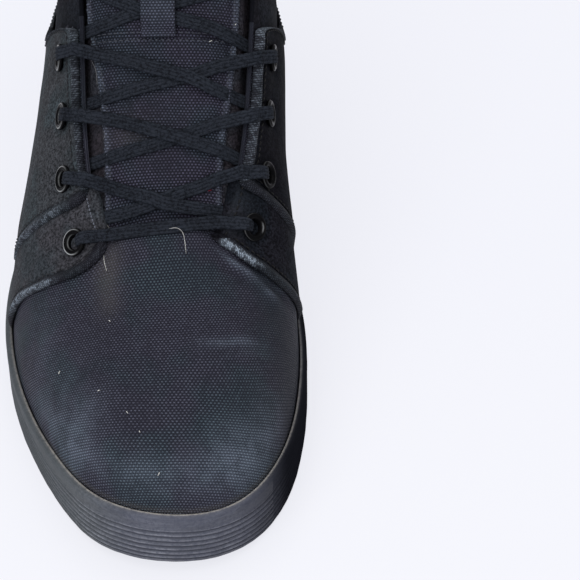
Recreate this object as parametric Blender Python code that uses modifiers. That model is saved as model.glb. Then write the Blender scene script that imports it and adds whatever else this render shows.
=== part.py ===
"""A right ankle boot: canvas upper on a rubber cupsole, laced over a tongue.

Metres, +Z up. The toe points to -Y and the wearer's inner (medial) side to +X.
The origin is on the floor under the middle of the sole.

The upper is one surface, upper_point(phi, v): phi runs once round the foot, from
the toe tip (0) by the lateral side to the heel (pi) and back by the medial side,
and v climbs each section from the feather line (0) to the throat or collar (1).
Every other piece is placed from that surface.
"""

import math

import bmesh
import bpy
import numpy as np
from mathutils import Matrix, Vector

MM = 0.001
TAU = 2 * math.pi

# Driving dimensions, in millimetres.
LAST_LENGTH = 293.0
GAP = 0.35
OVERLAY_GAP = 0.6
WALL = 1.8
CUFF_WALL = 4.2
SADDLE_THICK = 1.1
QUARTER_THICK = 1.9
TONGUE_THICK = 3.5
TONGUE_CLEARANCE = 2.35
INSOLE_THICK = 4.0
RIM_THICK = 2.5
LACE_WIDTH = 6.6
LACE_THICK = 1.4

# One row for each section across the boot, toe to heel. along: distance of the
# section's foot from the toe tip. lateral, medial: distances of the feather line
# from the axis. base_z: its height. lean, rise: the wall's outward lean there in
# degrees, and how far it holds it. top_*, y_*: the throat's or collar's edge.
# slope, reach: the wall's slope at that edge in degrees, and how far it holds it.
# swell: how far the wall's handle below the edge is pushed out sideways.
# rim_*: the height of the sole's rim.
SECTION_COLUMNS = (
    "along lateral medial base_z rim_lateral rim_medial lean rise y_lateral y_medial "
    "top_lateral top_medial top_z slope reach swell_lateral swell_medial"
).split()
SECTIONS = (
    (0, -11.6, 11.6, 16.0, 27, 27, 4, 38, -57, -57, -6, 6, 69, 21, 42, 0, 0),
    (8, 12.0, 33.2, 15.5, 26, 25.4, 4, 38, -57.3, -56.5, 2, 14, 68.8, 21, 40, 0, 0),
    (30, 28.3, 46.4, 13.2, 21.4, 23.4, 4, 36, -57.5, -56, 8, 20, 68, 22, 34, 0, 0),
    (62, 42.8, 52.2, 12.2, 17.7, 20.3, 4, 32, -57.5, -54, 13, 25, 66.5, 25, 25, 0, 0),
    (95, 50.9, 52.3, 12, 19.5, 21.6, 0, 26, -48, -45, 18, 29.5, 72.5, 31, 24, 0, 1),
    (130, 49.6, 46.5, 13, 22, 23, -2, 34, -29, -28, 22, 34, 85, 38, 26, 1, 4),
    (165, 42.0, 42, 15, 24, 25, 0, 46, -2, -2, 24, 36.5, 103, 44, 34, 4, 10),
    (200, 38.6, 40.5, 17.5, 26, 26.5, 0, 52, 26, 26, 26, 37.8, 130, 56, 40, 6, 14),
    (232, 36.2, 38, 19, 28, 28, 1, 54, 46, 46, 31, 38, 146, 78, 42, 3, 5),
    (265, 32.1, 32.5, 19.8, 29, 29, 3, 48, 92, 92, 33, 36, 141, 90, 40, 0, 0),
    (285, 21.7, 21.9, 20, 30, 30, 5, 44, 126, 126, 18.5, 20, 146, 94, 42, 0, 0),
    (293, -1, 1, 20, 30, 30, 6, 44, 133, 133, -1, 1, 148, 96, 42, 0, 0),
)

# Outer face of the cupsole's wall, from the rim down: share of the wall's height
# below the rim, and distance outwards from the upper.
RIB_COUNT = 6
RIB_TOP, RIB_BOTTOM = 0.22, 0.88
RIB_DEPTH = 0.55
WALL_FLARE = 0.2
RIM_BEAD = 1.0
TOE_SPRING, TOE_SPRING_LENGTH = 5.0, 48.0
HEEL_BEVEL, HEEL_BEVEL_LENGTH = 1.6, 14.0
ARCH_HOLLOW, ARCH_FRONT, ARCH_BACK = 1.8, -12.0, 66.0

ROUND_STEPS = 72
EYELETS = (
    # station lateral, station medial, distance from the facing's edge
    (4.0, 9.0, 10.0),
    (25.5, 25.5, 10.5),
    (48.0, 48.0, 11.0),
    (68.5, 68.5, 11.0),
    (99.0, 99.0, 11.0),
)
EYELET_HOLE = 3.35
EYELET_SIDES = 10
EYELET_GAP = 0.45
EYELET_CAP = ((2.7, 0.8), (4.3, 1.0), (5.1, 0.0))
BARREL_OUT, BARREL_IN = 2.95, 2.5
DRILL_LENGTH = 20.0


def closed_spline(knots, values):
    """The smooth closed curve (cubic, period TAU) through the values, as a function."""
    knots, values = np.asarray(knots, float), np.asarray(values, float)
    count = len(knots)
    step = np.diff(np.append(knots, knots[0] + TAU))
    system, right = np.zeros((count, count)), np.zeros(count)
    for i in range(count):
        after = (i + 1) % count
        system[i, i - 1] += step[i - 1]
        system[i, i] += 2 * (step[i - 1] + step[i])
        system[i, after] += step[i]
        rise_after = (values[after] - values[i]) / step[i]
        rise_before = (values[i] - values[i - 1]) / step[i - 1]
        right[i] = 6 * (rise_after - rise_before)
    bend = np.linalg.solve(system, right)

    def at(phi):
        phi = np.mod(phi, TAU)
        i = np.clip(np.searchsorted(knots, phi, side="right") - 1, 0, count - 1)
        after = (i + 1) % count
        t = (phi - knots[i]) / step[i]
        straight = (1 - t) * values[i] + t * values[after]
        bulge = ((1 - t) ** 3 - (1 - t)) * bend[i] + (t**3 - t) * bend[after]
        return straight + step[i] ** 2 / 6 * bulge

    return at


def along_to_phi(along):
    return math.acos(1 - 2 * along / LAST_LENGTH)


def section_curves():
    """A closed curve over phi for each column of SECTIONS."""
    rows = {name: np.array(column, float) for name, column in zip(SECTION_COLUMNS, zip(*SECTIONS))}
    half = np.array([along_to_phi(a) for a in rows["along"]])
    knots = np.concatenate([half, TAU - half[-2:0:-1]])
    curves = {}
    for name in ("base_z", "lean", "rise", "top_z", "slope", "reach"):
        both = np.concatenate([rows[name], rows[name][-2:0:-1]])
        curves[name] = closed_spline(knots, both)
    for name, lateral, medial, sign in (
        ("base_x", "lateral", "medial", -1),
        ("top_x", "top_lateral", "top_medial", -1),
        ("top_y", "y_lateral", "y_medial", 1),
        ("swell", "swell_lateral", "swell_medial", -1),
        ("rim_z", "rim_lateral", "rim_medial", 1),
    ):
        both = np.concatenate([sign * rows[lateral], rows[medial][-2:0:-1]])
        curves[name] = closed_spline(knots, both)
    return curves


CURVES = section_curves()


def on_upper(phi, v):
    """Points on the upper's outer face, in millimetres."""
    phi, v = np.broadcast_arrays(np.asarray(phi, float), np.asarray(v, float))
    c = {name: curve(phi) for name, curve in CURVES.items()}
    base = np.stack([c["base_x"], -LAST_LENGTH / 2 * np.cos(phi)], -1)
    top = np.stack([c["top_x"], c["top_y"]], -1)
    span = np.linalg.norm(base - top, axis=-1)
    outward = (base - top) / span[..., None]
    lean, slope = np.radians(c["lean"]), np.radians(c["slope"])
    across = (span, span + c["rise"] * np.sin(lean), c["reach"] * np.cos(slope), 0 * span)
    height = (
        c["base_z"],
        c["base_z"] + c["rise"] * np.cos(lean),
        c["top_z"] - c["reach"] * np.sin(slope),
        c["top_z"],
    )
    weights = ((1 - v) ** 3, 3 * v * (1 - v) ** 2, 3 * v**2 * (1 - v), v**3)
    r = sum(w * a for w, a in zip(weights, across))
    z = sum(w * h for w, h in zip(weights, height))
    points = np.concatenate([top + outward * r[..., None], z[..., None]], -1)
    points[..., 0] += weights[2] * c["swell"]
    return points


def upper_normal(phi, v):
    """Unit normals of the upper's outer face, pointing out."""
    e = 1e-3
    phi, v = np.broadcast_arrays(np.asarray(phi, float), np.asarray(v, float))
    v = np.clip(v, e, 1 - e)
    up = on_upper(phi, v + e) - on_upper(phi, v - e)
    along = on_upper(phi + e, v) - on_upper(phi - e, v)
    normal = np.cross(up, along)
    return normal / np.linalg.norm(normal, axis=-1, keepdims=True)


def upper_point(phi, v, lift=0.0):
    """Points at a distance lift outside the upper's outer face."""
    return on_upper(phi, v) + upper_normal(phi, v) * np.asarray(lift, float)[..., None]


def smooth(x, low, high):
    """0 below low, 1 above high, with an even ramp between them."""
    t = np.clip((np.asarray(x, float) - low) / (high - low), 0, 1)
    return t * t * (3 - 2 * t)


def v_at_height(phi, z):
    """The v at which each section first reaches height z."""
    levels = np.linspace(0, 0.98, 197)
    heights = on_upper(np.asarray(phi)[:, None], levels[None, :])[..., 2]
    return np.array([np.interp(want, row, levels) for want, row in zip(z, heights)])


# Meshes


def collection(name):
    made = bpy.data.collections.new(name)
    bpy.context.scene.collection.children.link(made)
    return made


def material(name, colour, roughness, metallic=0.0):
    made = bpy.data.materials.new(name)
    made.use_nodes = True
    shader = made.node_tree.nodes["Principled BSDF"]
    shader.inputs["Base Color"].default_value = (*colour, 1)
    shader.inputs["Roughness"].default_value = roughness
    shader.inputs["Metallic"].default_value = metallic
    return made


def add_object(name, points, faces, finish, group):
    """An object from points in millimetres, with its faces turned outwards."""
    mesh = bpy.data.meshes.new(name)
    mesh.from_pydata([tuple(p) for p in np.asarray(points) * MM], [], faces)
    work = bmesh.new()
    work.from_mesh(mesh)
    bmesh.ops.remove_doubles(work, verts=work.verts, dist=1e-6)
    bmesh.ops.recalc_face_normals(work, faces=work.faces)
    work.to_mesh(mesh)
    work.free()
    mesh.shade_smooth()
    mesh.set_sharp_from_angle(angle=math.radians(35))
    made = bpy.data.objects.new(name, mesh)
    made.data.materials.append(finish)
    group.objects.link(made)
    return made


def strip_faces(rows, columns, wrap, start=0):
    """Quads between neighbouring rows of a grid of points, closed round if wrap."""
    faces = []
    for i in range(rows - 1):
        for j in range(columns if wrap else columns - 1):
            k = (j + 1) % columns
            low, high = start + i * columns, start + (i + 1) * columns
            faces.append((low + j, low + k, high + k, high + j))
    return faces


def ladder_faces(count, start):
    """Faces that close a ring of points by rungs from one side to the other."""
    faces = []
    for i in range(count // 2):
        rung = [i, i + 1, (count - i - 1) % count, (count - i) % count]
        faces.append([start + k for k in dict.fromkeys(rung)])
    return faces


def ring_solid(name, rings, finish, group, close=True):
    """A solid through a stack of rings. Its ends are closed, or its last ring joins its first."""
    rings = list(rings) if close else [*rings, rings[0]]
    count = len(rings[0])
    faces = strip_faces(len(rings), count, True)
    if close:
        faces += ladder_faces(count, 0) + ladder_faces(count, (len(rings) - 1) * count)
    return add_object(name, np.concatenate(rings), faces, finish, group)


def sheet_solid(name, outer, inner, finish, group):
    """A solid between two grids of points of the same shape."""
    rows, columns = outer.shape[:2]
    size = rows * columns
    faces = strip_faces(rows, columns, False) + strip_faces(rows, columns, False, size)
    border = [j for j in range(columns)]
    border += [i * columns + columns - 1 for i in range(1, rows)]
    border += [(rows - 1) * columns + j for j in range(columns - 2, -1, -1)]
    border += [i * columns for i in range(rows - 2, 0, -1)]
    for a, b in zip(border, border[1:] + border[:1]):
        faces.append((a, b, size + b, size + a))
    points = np.concatenate([outer.reshape(-1, 3), inner.reshape(-1, 3)])
    return add_object(name, points, faces, finish, group)


# The throat: stations are distances up the facing's edge from the throat's front.

THROAT_FRONT = along_to_phi(66)
THROAT_TOP = along_to_phi(224)


def facing_phi(station, side):
    """phi where the facing's edge is that far up it. side is -1 lateral, +1 medial."""
    phi = np.linspace(THROAT_FRONT, THROAT_TOP, 200)
    edge = on_upper(phi, 1.0)
    length = np.concatenate([[0], np.cumsum(np.linalg.norm(np.diff(edge, axis=0), axis=1))])
    found = np.interp(station, length, phi)
    return found if side < 0 else TAU - found


def facing_length():
    """The facing's edge from the throat's front to its top."""
    edge = on_upper(np.linspace(THROAT_FRONT, THROAT_TOP, 200), 1.0)
    return float(np.linalg.norm(np.diff(edge, axis=0), axis=1).sum())


def v_below_edge(phi, inset):
    """The v that lies that far below the section's top edge."""
    levels = np.linspace(1, 0.4, 121)
    line = on_upper(phi, levels)
    length = np.concatenate([[0], np.cumsum(np.linalg.norm(np.diff(line, axis=0), axis=1))])
    return float(np.interp(inset, length, levels))


# Sole


def ground_height(y):
    """The sole's underside: toe spring, heel bevel and a shallow arch between two flats."""
    toe = -LAST_LENGTH / 2 - RIM_THICK
    heel = LAST_LENGTH / 2 + RIM_THICK
    spring = TOE_SPRING * np.clip((toe + TOE_SPRING_LENGTH - y) / TOE_SPRING_LENGTH, 0, None) ** 2
    bevel = HEEL_BEVEL * np.clip((y - heel + HEEL_BEVEL_LENGTH) / HEEL_BEVEL_LENGTH, 0, None) ** 2
    middle = np.clip((y - ARCH_FRONT) / (ARCH_BACK - ARCH_FRONT), 0, 1)
    return spring + bevel + ARCH_HOLLOW * np.sin(math.pi * middle) ** 2


def plan_normals(ring):
    """Outward unit normals of a ring of points, seen from above."""
    ahead = np.roll(ring, -1, 0) - np.roll(ring, 1, 0)
    normal = np.stack([-ahead[:, 1], ahead[:, 0], 0 * ahead[:, 0]], -1)
    return normal / np.linalg.norm(normal, axis=1, keepdims=True)


def rib_profile():
    """(share of the wall's height below the rim, cut-back) down the ribbed band."""
    rows = []
    for i in range(2 * RIB_COUNT + 1):
        share = RIB_TOP + (RIB_BOTTOM - RIB_TOP) * i / (2 * RIB_COUNT)
        rows.append((share, RIB_DEPTH if i % 2 == 1 else 0.0))
    return rows


def build_cupsole(finish, group):
    phi = np.linspace(0, TAU, ROUND_STEPS, endpoint=False)
    side_y = -LAST_LENGTH / 2 * np.cos(phi)
    rim_v = v_at_height(phi, CURVES["rim_z"](phi))
    inside = [upper_point(phi, rim_v * share, GAP + 0 * phi) for share in (0.0, 1.0)]
    floor = inside[0].copy()
    floor[:, 2] = CURVES["base_z"](phi) - GAP
    inside[0] = floor
    rim = inside[-1]
    outward = plan_normals(rim)
    toe_share = 1 - smooth(side_y, -100, -40)

    def wall_ring(share, out):
        """A ring that far down the wall, that far outside its plain face."""
        points = rim + outward * (RIM_THICK + WALL_FLARE * share + np.asarray(out))[:, None]
        ground = ground_height(points[:, 1])
        points[:, 2] = ground + (rim[:, 2] - ground) * (1 - share)
        return points

    zero = 0 * phi
    rings = [wall_ring(1.0, zero - 1.0), wall_ring(0.955, zero)]
    for share, cut in reversed(rib_profile()):
        rings.append(wall_ring(share, -cut * toe_share))
    rings.append(wall_ring(0.16, zero + 0.25))
    rings.append(wall_ring(0.05, zero))
    rings.append(wall_ring(0.0, zero - RIM_BEAD))
    rings[0][:, 2] = ground_height(rings[0][:, 1])
    rings += [inside[1], inside[0]]
    return ring_solid("cupsole", rings, finish, group)


def build_insole(finish, group):
    phi = np.linspace(0, TAU, ROUND_STEPS * 2 // 3, endpoint=False)
    edge = on_upper(phi, 0.0)
    inner = edge - plan_normals(edge) * (WALL + 5 * GAP)
    bottom, top, dish = inner.copy(), inner.copy(), inner.copy()
    bottom[:, 2] = CURVES["base_z"](phi)
    top[:, 2] = bottom[:, 2] + INSOLE_THICK + 1.5
    dish -= plan_normals(inner) * 5
    dish[:, 2] = bottom[:, 2] + INSOLE_THICK
    return ring_solid("insole", [bottom, top, dish], finish, group)


# Upper


def wall_thickness(phi, v):
    """The upper's wall, thicker where the collar is padded."""
    back = smooth(-np.cos(phi), 0.55, 0.8)
    return WALL + (CUFF_WALL - WALL) * back * smooth(v, 0.62, 0.85) * (1 - 0.45 * smooth(v, 0.93, 1))


def build_upper(finish, group):
    even = np.linspace(0, TAU, ROUND_STEPS, endpoint=False)
    corners = [THROAT_FRONT + bend for bend in (-0.045, -0.015, 0.02)]
    phi = np.sort(np.concatenate([even, corners, TAU - np.array(corners)]))
    outside = (0, 0.1, 0.2, 0.3, 0.42, 0.56, 0.71, 0.86, 1)
    inside = (1, 0.85, 0.66, 0.44, 0.22, 0)
    rings = [on_upper(phi, v) for v in outside]
    rings += [upper_point(phi, v, -wall_thickness(phi, v)) for v in inside]
    return ring_solid("upper", rings, finish, group, close=False)


# Seams on the upper's sides: station up the facing where each starts, along of its
# foot at the sole's rim, and how far phi bows forwards between them.
SADDLE_SEAM = (0.0, 99.0, -0.012)
QUARTER_SEAM = (21.0, 114.0, -0.035)
CUFF_STATION = 77.0
SEAM_GAP = 0.012
CUFF_FALL = 0.07
CUFF_HEIGHTS = (88.0, 86.0, 84.0)


def seam_phi(seam, v):
    """phi down the lateral side's seam, from the facing's edge to the rim."""
    station, foot, bow = seam
    head = facing_phi(station, -1)
    return head + (along_to_phi(foot) - head) * (1 - v) + bow * np.sin(math.pi * np.asarray(v))


def rim_v(phi):
    """The v just above the sole's rim."""
    flat = np.ravel(phi)
    return v_at_height(flat, CURVES["rim_z"](flat) + 0.8).reshape(np.shape(phi))


def cuff_v(phi, side):
    """Top edge of the quarter: the facing's edge, then a fall to below the collar."""
    corner = facing_phi(CUFF_STATION, -1)
    height = np.interp(np.ravel(phi), (corner, corner + 0.5, math.pi), CUFF_HEIGHTS)
    swept = v_at_height(side_phi(np.ravel(phi), side), height).reshape(np.shape(phi))
    return 1 - smooth(phi, corner, corner + CUFF_FALL) * (1 - swept)


def side_phi(phi, side):
    """A phi of the lateral side, or its mirror on the medial side."""
    return phi if side < 0 else TAU - phi


def overlay(name, phi, v, thick, finish, group):
    """A panel of that thickness lying over the upper on a grid of (phi, v)."""
    outer = upper_point(phi, v, OVERLAY_GAP + thick + 0 * v)
    inner = upper_point(phi, v, OVERLAY_GAP + 0 * v)
    return sheet_solid(name, outer, inner, finish, group)


def build_saddle(name, side, finish, group):
    """The front panel of one side, between the two seams, with the lowest eyelet."""
    share = np.linspace(0, 1, 6)[None, :]
    level = np.linspace(0, 1, 10)[:, None]
    v = level + 0 * share
    for _ in range(4):
        front, back = (seam_phi(s, v) for s in (SADDLE_SEAM, QUARTER_SEAM))
        phi = side_phi(front + (back - SEAM_GAP - front) * share, side)
        low = rim_v(phi)
        v = low + (1 - low) * level
    return overlay(name, phi, v, SADDLE_THICK, finish, group)


def build_quarter(name, side, finish, group):
    """The rear panel of one side, from the second seam to the back of the heel."""
    level = np.linspace(0, 1, 10)[:, None]
    corner = facing_phi(CUFF_STATION, -1)
    heel = math.pi - 0.004
    ahead = np.linspace(0, 1, 9)[None, :]
    fall = corner + CUFF_FALL * np.linspace(0.25, 1, 4)
    behind = fall[-1] + (heel - fall[-1]) * (1 - (1 - np.linspace(0, 1, 12)[1:]) ** 1.3)
    rest = np.concatenate([fall, behind])[None, :]
    v = level + 0 * np.concatenate([ahead, rest], axis=1)
    for _ in range(4):
        front = seam_phi(QUARTER_SEAM, v[:, :1])
        phi = np.concatenate([front + (corner - front) * ahead, rest + 0 * level], axis=1)
        low, high = rim_v(side_phi(phi, side)), cuff_v(phi, side)
        v = low + (high - low) * level
    return overlay(name, side_phi(phi, side), v, QUARTER_THICK, finish, group)


# Tongue

TONGUE_OVERLAP = 12.0
TONGUE_CROWN = 0.2
TONGUE_RISE_ABOVE = 14.0
TONGUE_EDGE = 0.62
ROOT_CLEARANCE = 1.25


def tongue_depth(station):
    """How far the tongue's outer face lies under the facing's outer face."""
    return WALL + ROOT_CLEARANCE + (TONGUE_CLEARANCE - ROOT_CLEARANCE) * smooth(station, 3, 16)


def tongue_line(station, cross, lift):
    """Points across the tongue's outer face: cross runs -1 to 1, edge to edge.

    Under each facing it follows the upper's inner face, and between them it is a
    cubic arch that meets both slopes.
    """
    ends = []
    for side in (-1, 1):
        phi = facing_phi(station, side)
        inset = v_below_edge(phi, TONGUE_OVERLAP)
        depth = lift - tongue_depth(station)
        ends.append((upper_point(phi, 1.0, depth), upper_point(phi, inset, depth)))
    (left, left_low), (right, right_low) = ends
    reach = TONGUE_CROWN * np.linalg.norm(right - left)
    left_handle = left + reach * (left - left_low) / np.linalg.norm(left - left_low)
    right_handle = right + reach * (right - right_low) / np.linalg.norm(right - right_low)
    points = []
    for c in cross:
        if abs(c) > TONGUE_EDGE:
            share = (abs(c) - TONGUE_EDGE) / (1 - TONGUE_EDGE)
            near, far = (left, left_low) if c < 0 else (right, right_low)
            points.append(near + (far - near) * share)
        else:
            t = (c + TONGUE_EDGE) / (2 * TONGUE_EDGE)
            weights = ((1 - t) ** 3, 3 * t * (1 - t) ** 2, 3 * t * t * (1 - t), t**3)
            points.append(sum(w * p for w, p in zip(weights, (left, left_handle, right_handle, right))))
    return np.array(points)


def tongue_root(cross, tuck, lift):
    """Points across the tongue where it is tucked that far under the vamp."""
    corner = facing_phi(0, -1)
    points = []
    for c in cross:
        share = min(abs(c) / TONGUE_EDGE, 1)
        below = tuck + max(abs(c) - TONGUE_EDGE, 0) / (1 - TONGUE_EDGE) * (TONGUE_OVERLAP - 4)
        phi = corner * share if c < 0 else TAU - corner * share
        v = v_below_edge(phi, below)
        points.append(upper_point(phi, v, lift - WALL - ROOT_CLEARANCE))
    return np.array(points)


def build_tongue(finish, group):
    cross = np.array([-1, -0.8, -0.62, -0.4, -0.2, 0, 0.2, 0.4, 0.62, 0.8, 1])
    stations = [3, 9, 16, 30, 46, 62, 78, 94, facing_length()]
    faces = []
    for lift in (0.0, -TONGUE_THICK):
        rows = [tongue_root(cross, tuck, lift) for tuck in (9.0, 4.0)]
        rows += [tongue_line(s, cross, lift) for s in stations]
        climb = rows[-1] - rows[-2]
        climb = climb / np.linalg.norm(climb[5])
        rows += [rows[-1] + climb * TONGUE_RISE_ABOVE * share for share in (0.6, 1.0)]
        faces.append(np.array(rows))
    return sheet_solid("tongue", faces[0], faces[1], finish, group)


# Eyelets


def eyelet_place(station, inset, side, lift):
    """Where an eyelet sits, and the way it faces."""
    phi = facing_phi(station, side)
    v = v_below_edge(phi, inset)
    return upper_point(phi, v, lift), upper_normal(phi, v)


def aligned(place, facing):
    turn = Vector(facing).to_track_quat("Z", "Y").to_matrix().to_4x4()
    return Matrix.Translation(Vector(place) * MM) @ turn


def turned_ring(name, profile, finish, group):
    """A closed profile of (radius, height) turned once about Z."""
    mesh = bpy.data.meshes.new(name)
    corners = [(radius * MM, 0, height * MM) for radius, height in profile]
    count = len(corners)
    mesh.from_pydata(corners, [(i, (i + 1) % count) for i in range(count)], [])
    made = bpy.data.objects.new(name, mesh)
    made.data.materials.append(finish)
    group.objects.link(made)
    turn = made.modifiers.new("turn", "SCREW")
    turn.axis = "Z"
    turn.angle = TAU
    turn.steps = turn.render_steps = EYELET_SIDES
    turn.use_merge_vertices = True
    turn.merge_threshold = 1e-5
    turn.use_normal_calculate = True
    turn.use_normal_flip = True
    return made


def build_eyelets(finish, group, holes):
    """A ring for each row and side, and the drill that makes room for its barrel."""
    for row, (lateral, medial, inset) in enumerate(EYELETS, 1):
        panel = {1: SADDLE_THICK, len(EYELETS): -OVERLAY_GAP}.get(row, QUARTER_THICK)
        barrel = EYELET_GAP + OVERLAY_GAP + panel + WALL / 2
        profile = EYELET_CAP + ((BARREL_OUT, 0.0), (BARREL_OUT, -barrel), (BARREL_IN, -barrel))
        for side, side_name, station in ((-1, "lateral", lateral), (1, "medial", medial)):
            place, facing = eyelet_place(station, inset, side, OVERLAY_GAP + panel + EYELET_GAP)
            ring = turned_ring(f"eyelet_{side_name}_{row}", profile, finish, group)
            ring.matrix_world = aligned(place, facing)
            bpy.ops.mesh.primitive_cylinder_add(
                vertices=EYELET_SIDES, radius=EYELET_HOLE * MM, depth=DRILL_LENGTH * MM
            )
            drill_bit = bpy.context.object
            drill_bit.name = f"drill_{side_name}_{row}"
            drill_bit.matrix_world = aligned(place, facing)
            make_helper(drill_bit, holes)


def make_helper(obj, group):
    """Moves an object into a collection of helpers, out of the render."""
    for owner in obj.users_collection:
        owner.objects.unlink(obj)
    group.objects.link(obj)
    obj.hide_render = True
    obj.display_type = "WIRE"


def drill(target, holes):
    cut = target.modifiers.new("eyelet_holes", "BOOLEAN")
    cut.operation = "DIFFERENCE"
    cut.operand_type = "COLLECTION"
    cut.collection = holes
    cut.solver = "EXACT"


# Laces

LACE_REST = 0.65
FACING_REST = 1.15
BAR_ARCH = 2.0
LACE_START = 0.55
LOWEST_START = 0.5
LACE_EMERGES = 3.0
LACE_OVERHANG = 1.8
LACE_REACH = 4.6
ARCH_STEPS = 9
LOOP_FROM, LOOP_TO, LOOP_CROSS = 73.5, 101.0, -0.09
LOOP_WIDTH, LOOP_THICK = 12.5, 1.2
LOOP_PROFILE = ((0, 0.4), (0.06, 0.5), (0.14, 3.9), (0.75, 3.9), (0.92, 0.5), (1, 0.4))


def tongue_at(station, cross):
    """The tongue's outer face and its normal at one place."""
    here, aside = tongue_line(station, (cross, cross + 0.01), 0.0)
    ahead = tongue_line(station + 0.5, (cross,), 0.0)[0]
    normal = np.cross(aside - here, ahead - here)
    return here, normal / np.linalg.norm(normal)


def facing_top(station, inset, side, panel):
    """A lace's place on top of a facing's panel, and its normal. A negative inset overhangs it."""
    phi = facing_phi(station, side)
    v = v_below_edge(phi, max(inset, 0))
    place = upper_point(phi, v, OVERLAY_GAP + panel + FACING_REST + LACE_THICK / 2)
    if inset < 0:
        inward = on_upper(phi, 1.0) - on_upper(phi, 0.98)
        place = place - inward / np.linalg.norm(inward) * inset
    return place, upper_normal(phi, v)


def ribbon(route):
    """Cross-sections of a flat lace along a route of (point, normal)."""
    points = np.array([point for point, _ in route])
    along = np.gradient(points, axis=0)
    rings = []
    for (point, normal), ahead in zip(route, along):
        across = np.cross(ahead, normal)
        across *= LACE_WIDTH / 2 / np.linalg.norm(across)
        up = normal * LACE_THICK / 2
        left, right = point - across, point + across
        rings.append(np.array([right + up, left + up, left - up, right - up]))
    return rings


def strand_route(low, high, side):
    """From under one facing's edge in row low, over the other facing's edge in row high.

    side is the side of the higher eyelet. The strand is taut, and rests on the
    tongue where the tongue stands higher than the straight line.
    """
    column = 0 if side < 0 else 1
    start_station = EYELETS[low][1 - column] + LACE_EMERGES
    end_station = EYELETS[high][column]
    panel = QUARTER_THICK if high < len(EYELETS) - 1 else -OVERLAY_GAP
    cross = LACE_START if low else LOWEST_START
    rest = LACE_REST + LACE_THICK / 2
    start, start_normal = tongue_at(start_station, -side * cross)
    start = start + start_normal * rest
    end, end_normal = facing_top(end_station, -LACE_OVERHANG, side, panel)
    route = []
    for share in np.linspace(0, 1, ARCH_STEPS)[:-1]:
        station = start_station + (end_station - start_station) * share
        below, normal = tongue_at(station, side * (cross * (share - 1) + TONGUE_EDGE * share))
        straight = start + (end - start) * share
        height = max(rest, float(np.dot(straight - below, normal)))
        tilt = min((height - rest) / 5, 1)
        blend = normal + (end_normal - normal) * tilt
        route.append((below + normal * height, blend / np.linalg.norm(blend)))
    route.append((end, end_normal))
    route.append(facing_top(end_station, LACE_REACH, side, panel))
    return route


def build_laces(finish, group, strands):
    """The bar across the lowest eyelets, and a crossing for each pair of rows above."""
    ends = []
    for side, station in ((-1, EYELETS[0][0]), (1, EYELETS[0][1])):
        ends.append([facing_top(station, inset, side, SADDLE_THICK) for inset in (LACE_REACH, 0.0)])
    (left, left_edge), (right, right_edge) = ends
    route = [left, left_edge]
    for share in (0.25, 0.5, 0.75):
        point = left_edge[0] + (right_edge[0] - left_edge[0]) * share
        normal = left_edge[1] + (right_edge[1] - left_edge[1]) * share
        lift = BAR_ARCH * 4 * share * (1 - share)
        route.append((point + normal * lift, normal / np.linalg.norm(normal)))
    route += [right_edge, right]
    ring_solid("lace_bar", ribbon(route), finish, group)
    for low in range(len(EYELETS) - 1):
        name = f"lace_crossing_{low + 1}"
        crossing = ring_solid(name, ribbon(strand_route(low, low + 1, -1)), finish, group)
        other = ring_solid(name + "_under", ribbon(strand_route(low, low + 1, 1)), finish, group)
        join = crossing.modifiers.new("join", "BOOLEAN")
        join.operation = "UNION"
        join.object = other
        join.solver = "EXACT"
        make_helper(other, strands)


def build_lace_loop(finish, group):
    """The loop on the tongue that the highest crossing passes under."""
    rings = []
    for share, height in LOOP_PROFILE:
        station = LOOP_FROM + (LOOP_TO - LOOP_FROM) * share
        here, normal = tongue_at(station, LOOP_CROSS)
        beside, _ = tongue_at(station, LOOP_CROSS + 0.05)
        across = (beside - here) / np.linalg.norm(beside - here) * LOOP_WIDTH / 2
        low, high = here + normal * height, here + normal * (height + LOOP_THICK)
        rings.append(np.array([low - across, low + across, high + across, high - across]))
    return ring_solid("tongue_lace_loop", rings, finish, group)


def main():
    for old in list(bpy.data.objects):
        bpy.data.objects.remove(old)
    boot = collection("ankle_boot")
    holes = collection("eyelet_drills")
    rubber = material("rubber", (0.018, 0.018, 0.02), 0.55)
    canvas = material("waxed_canvas", (0.014, 0.016, 0.022), 0.8)
    facing_cloth = material("facing_cloth", (0.012, 0.013, 0.014), 0.75)
    footbed = material("footbed", (0.03, 0.03, 0.03), 0.9)
    lace_cloth = material("lace_cloth", (0.012, 0.012, 0.014), 0.85)
    black_metal = material("black_metal", (0.02, 0.02, 0.02), 0.3, 1.0)
    build_cupsole(rubber, boot)
    build_insole(footbed, boot)
    panels = [build_upper(canvas, boot)]
    for side, side_name in ((-1, "lateral"), (1, "medial")):
        panels.append(build_saddle(f"saddle_{side_name}", side, facing_cloth, boot))
        panels.append(build_quarter(f"quarter_{side_name}", side, canvas, boot))
    build_tongue(canvas, boot)
    build_laces(lace_cloth, boot, collection("lace_strands"))
    build_lace_loop(canvas, boot)
    build_eyelets(black_metal, boot, holes)
    for panel in panels:
        drill(panel, holes)


main()
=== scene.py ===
"""The looks of a right ankle boot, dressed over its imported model.

Sizes are in millimetres until a mesh is made. phi runs round the foot and v up its
wall, as in the model's source, whose section table and surface are repeated here.
"""

import math

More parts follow.
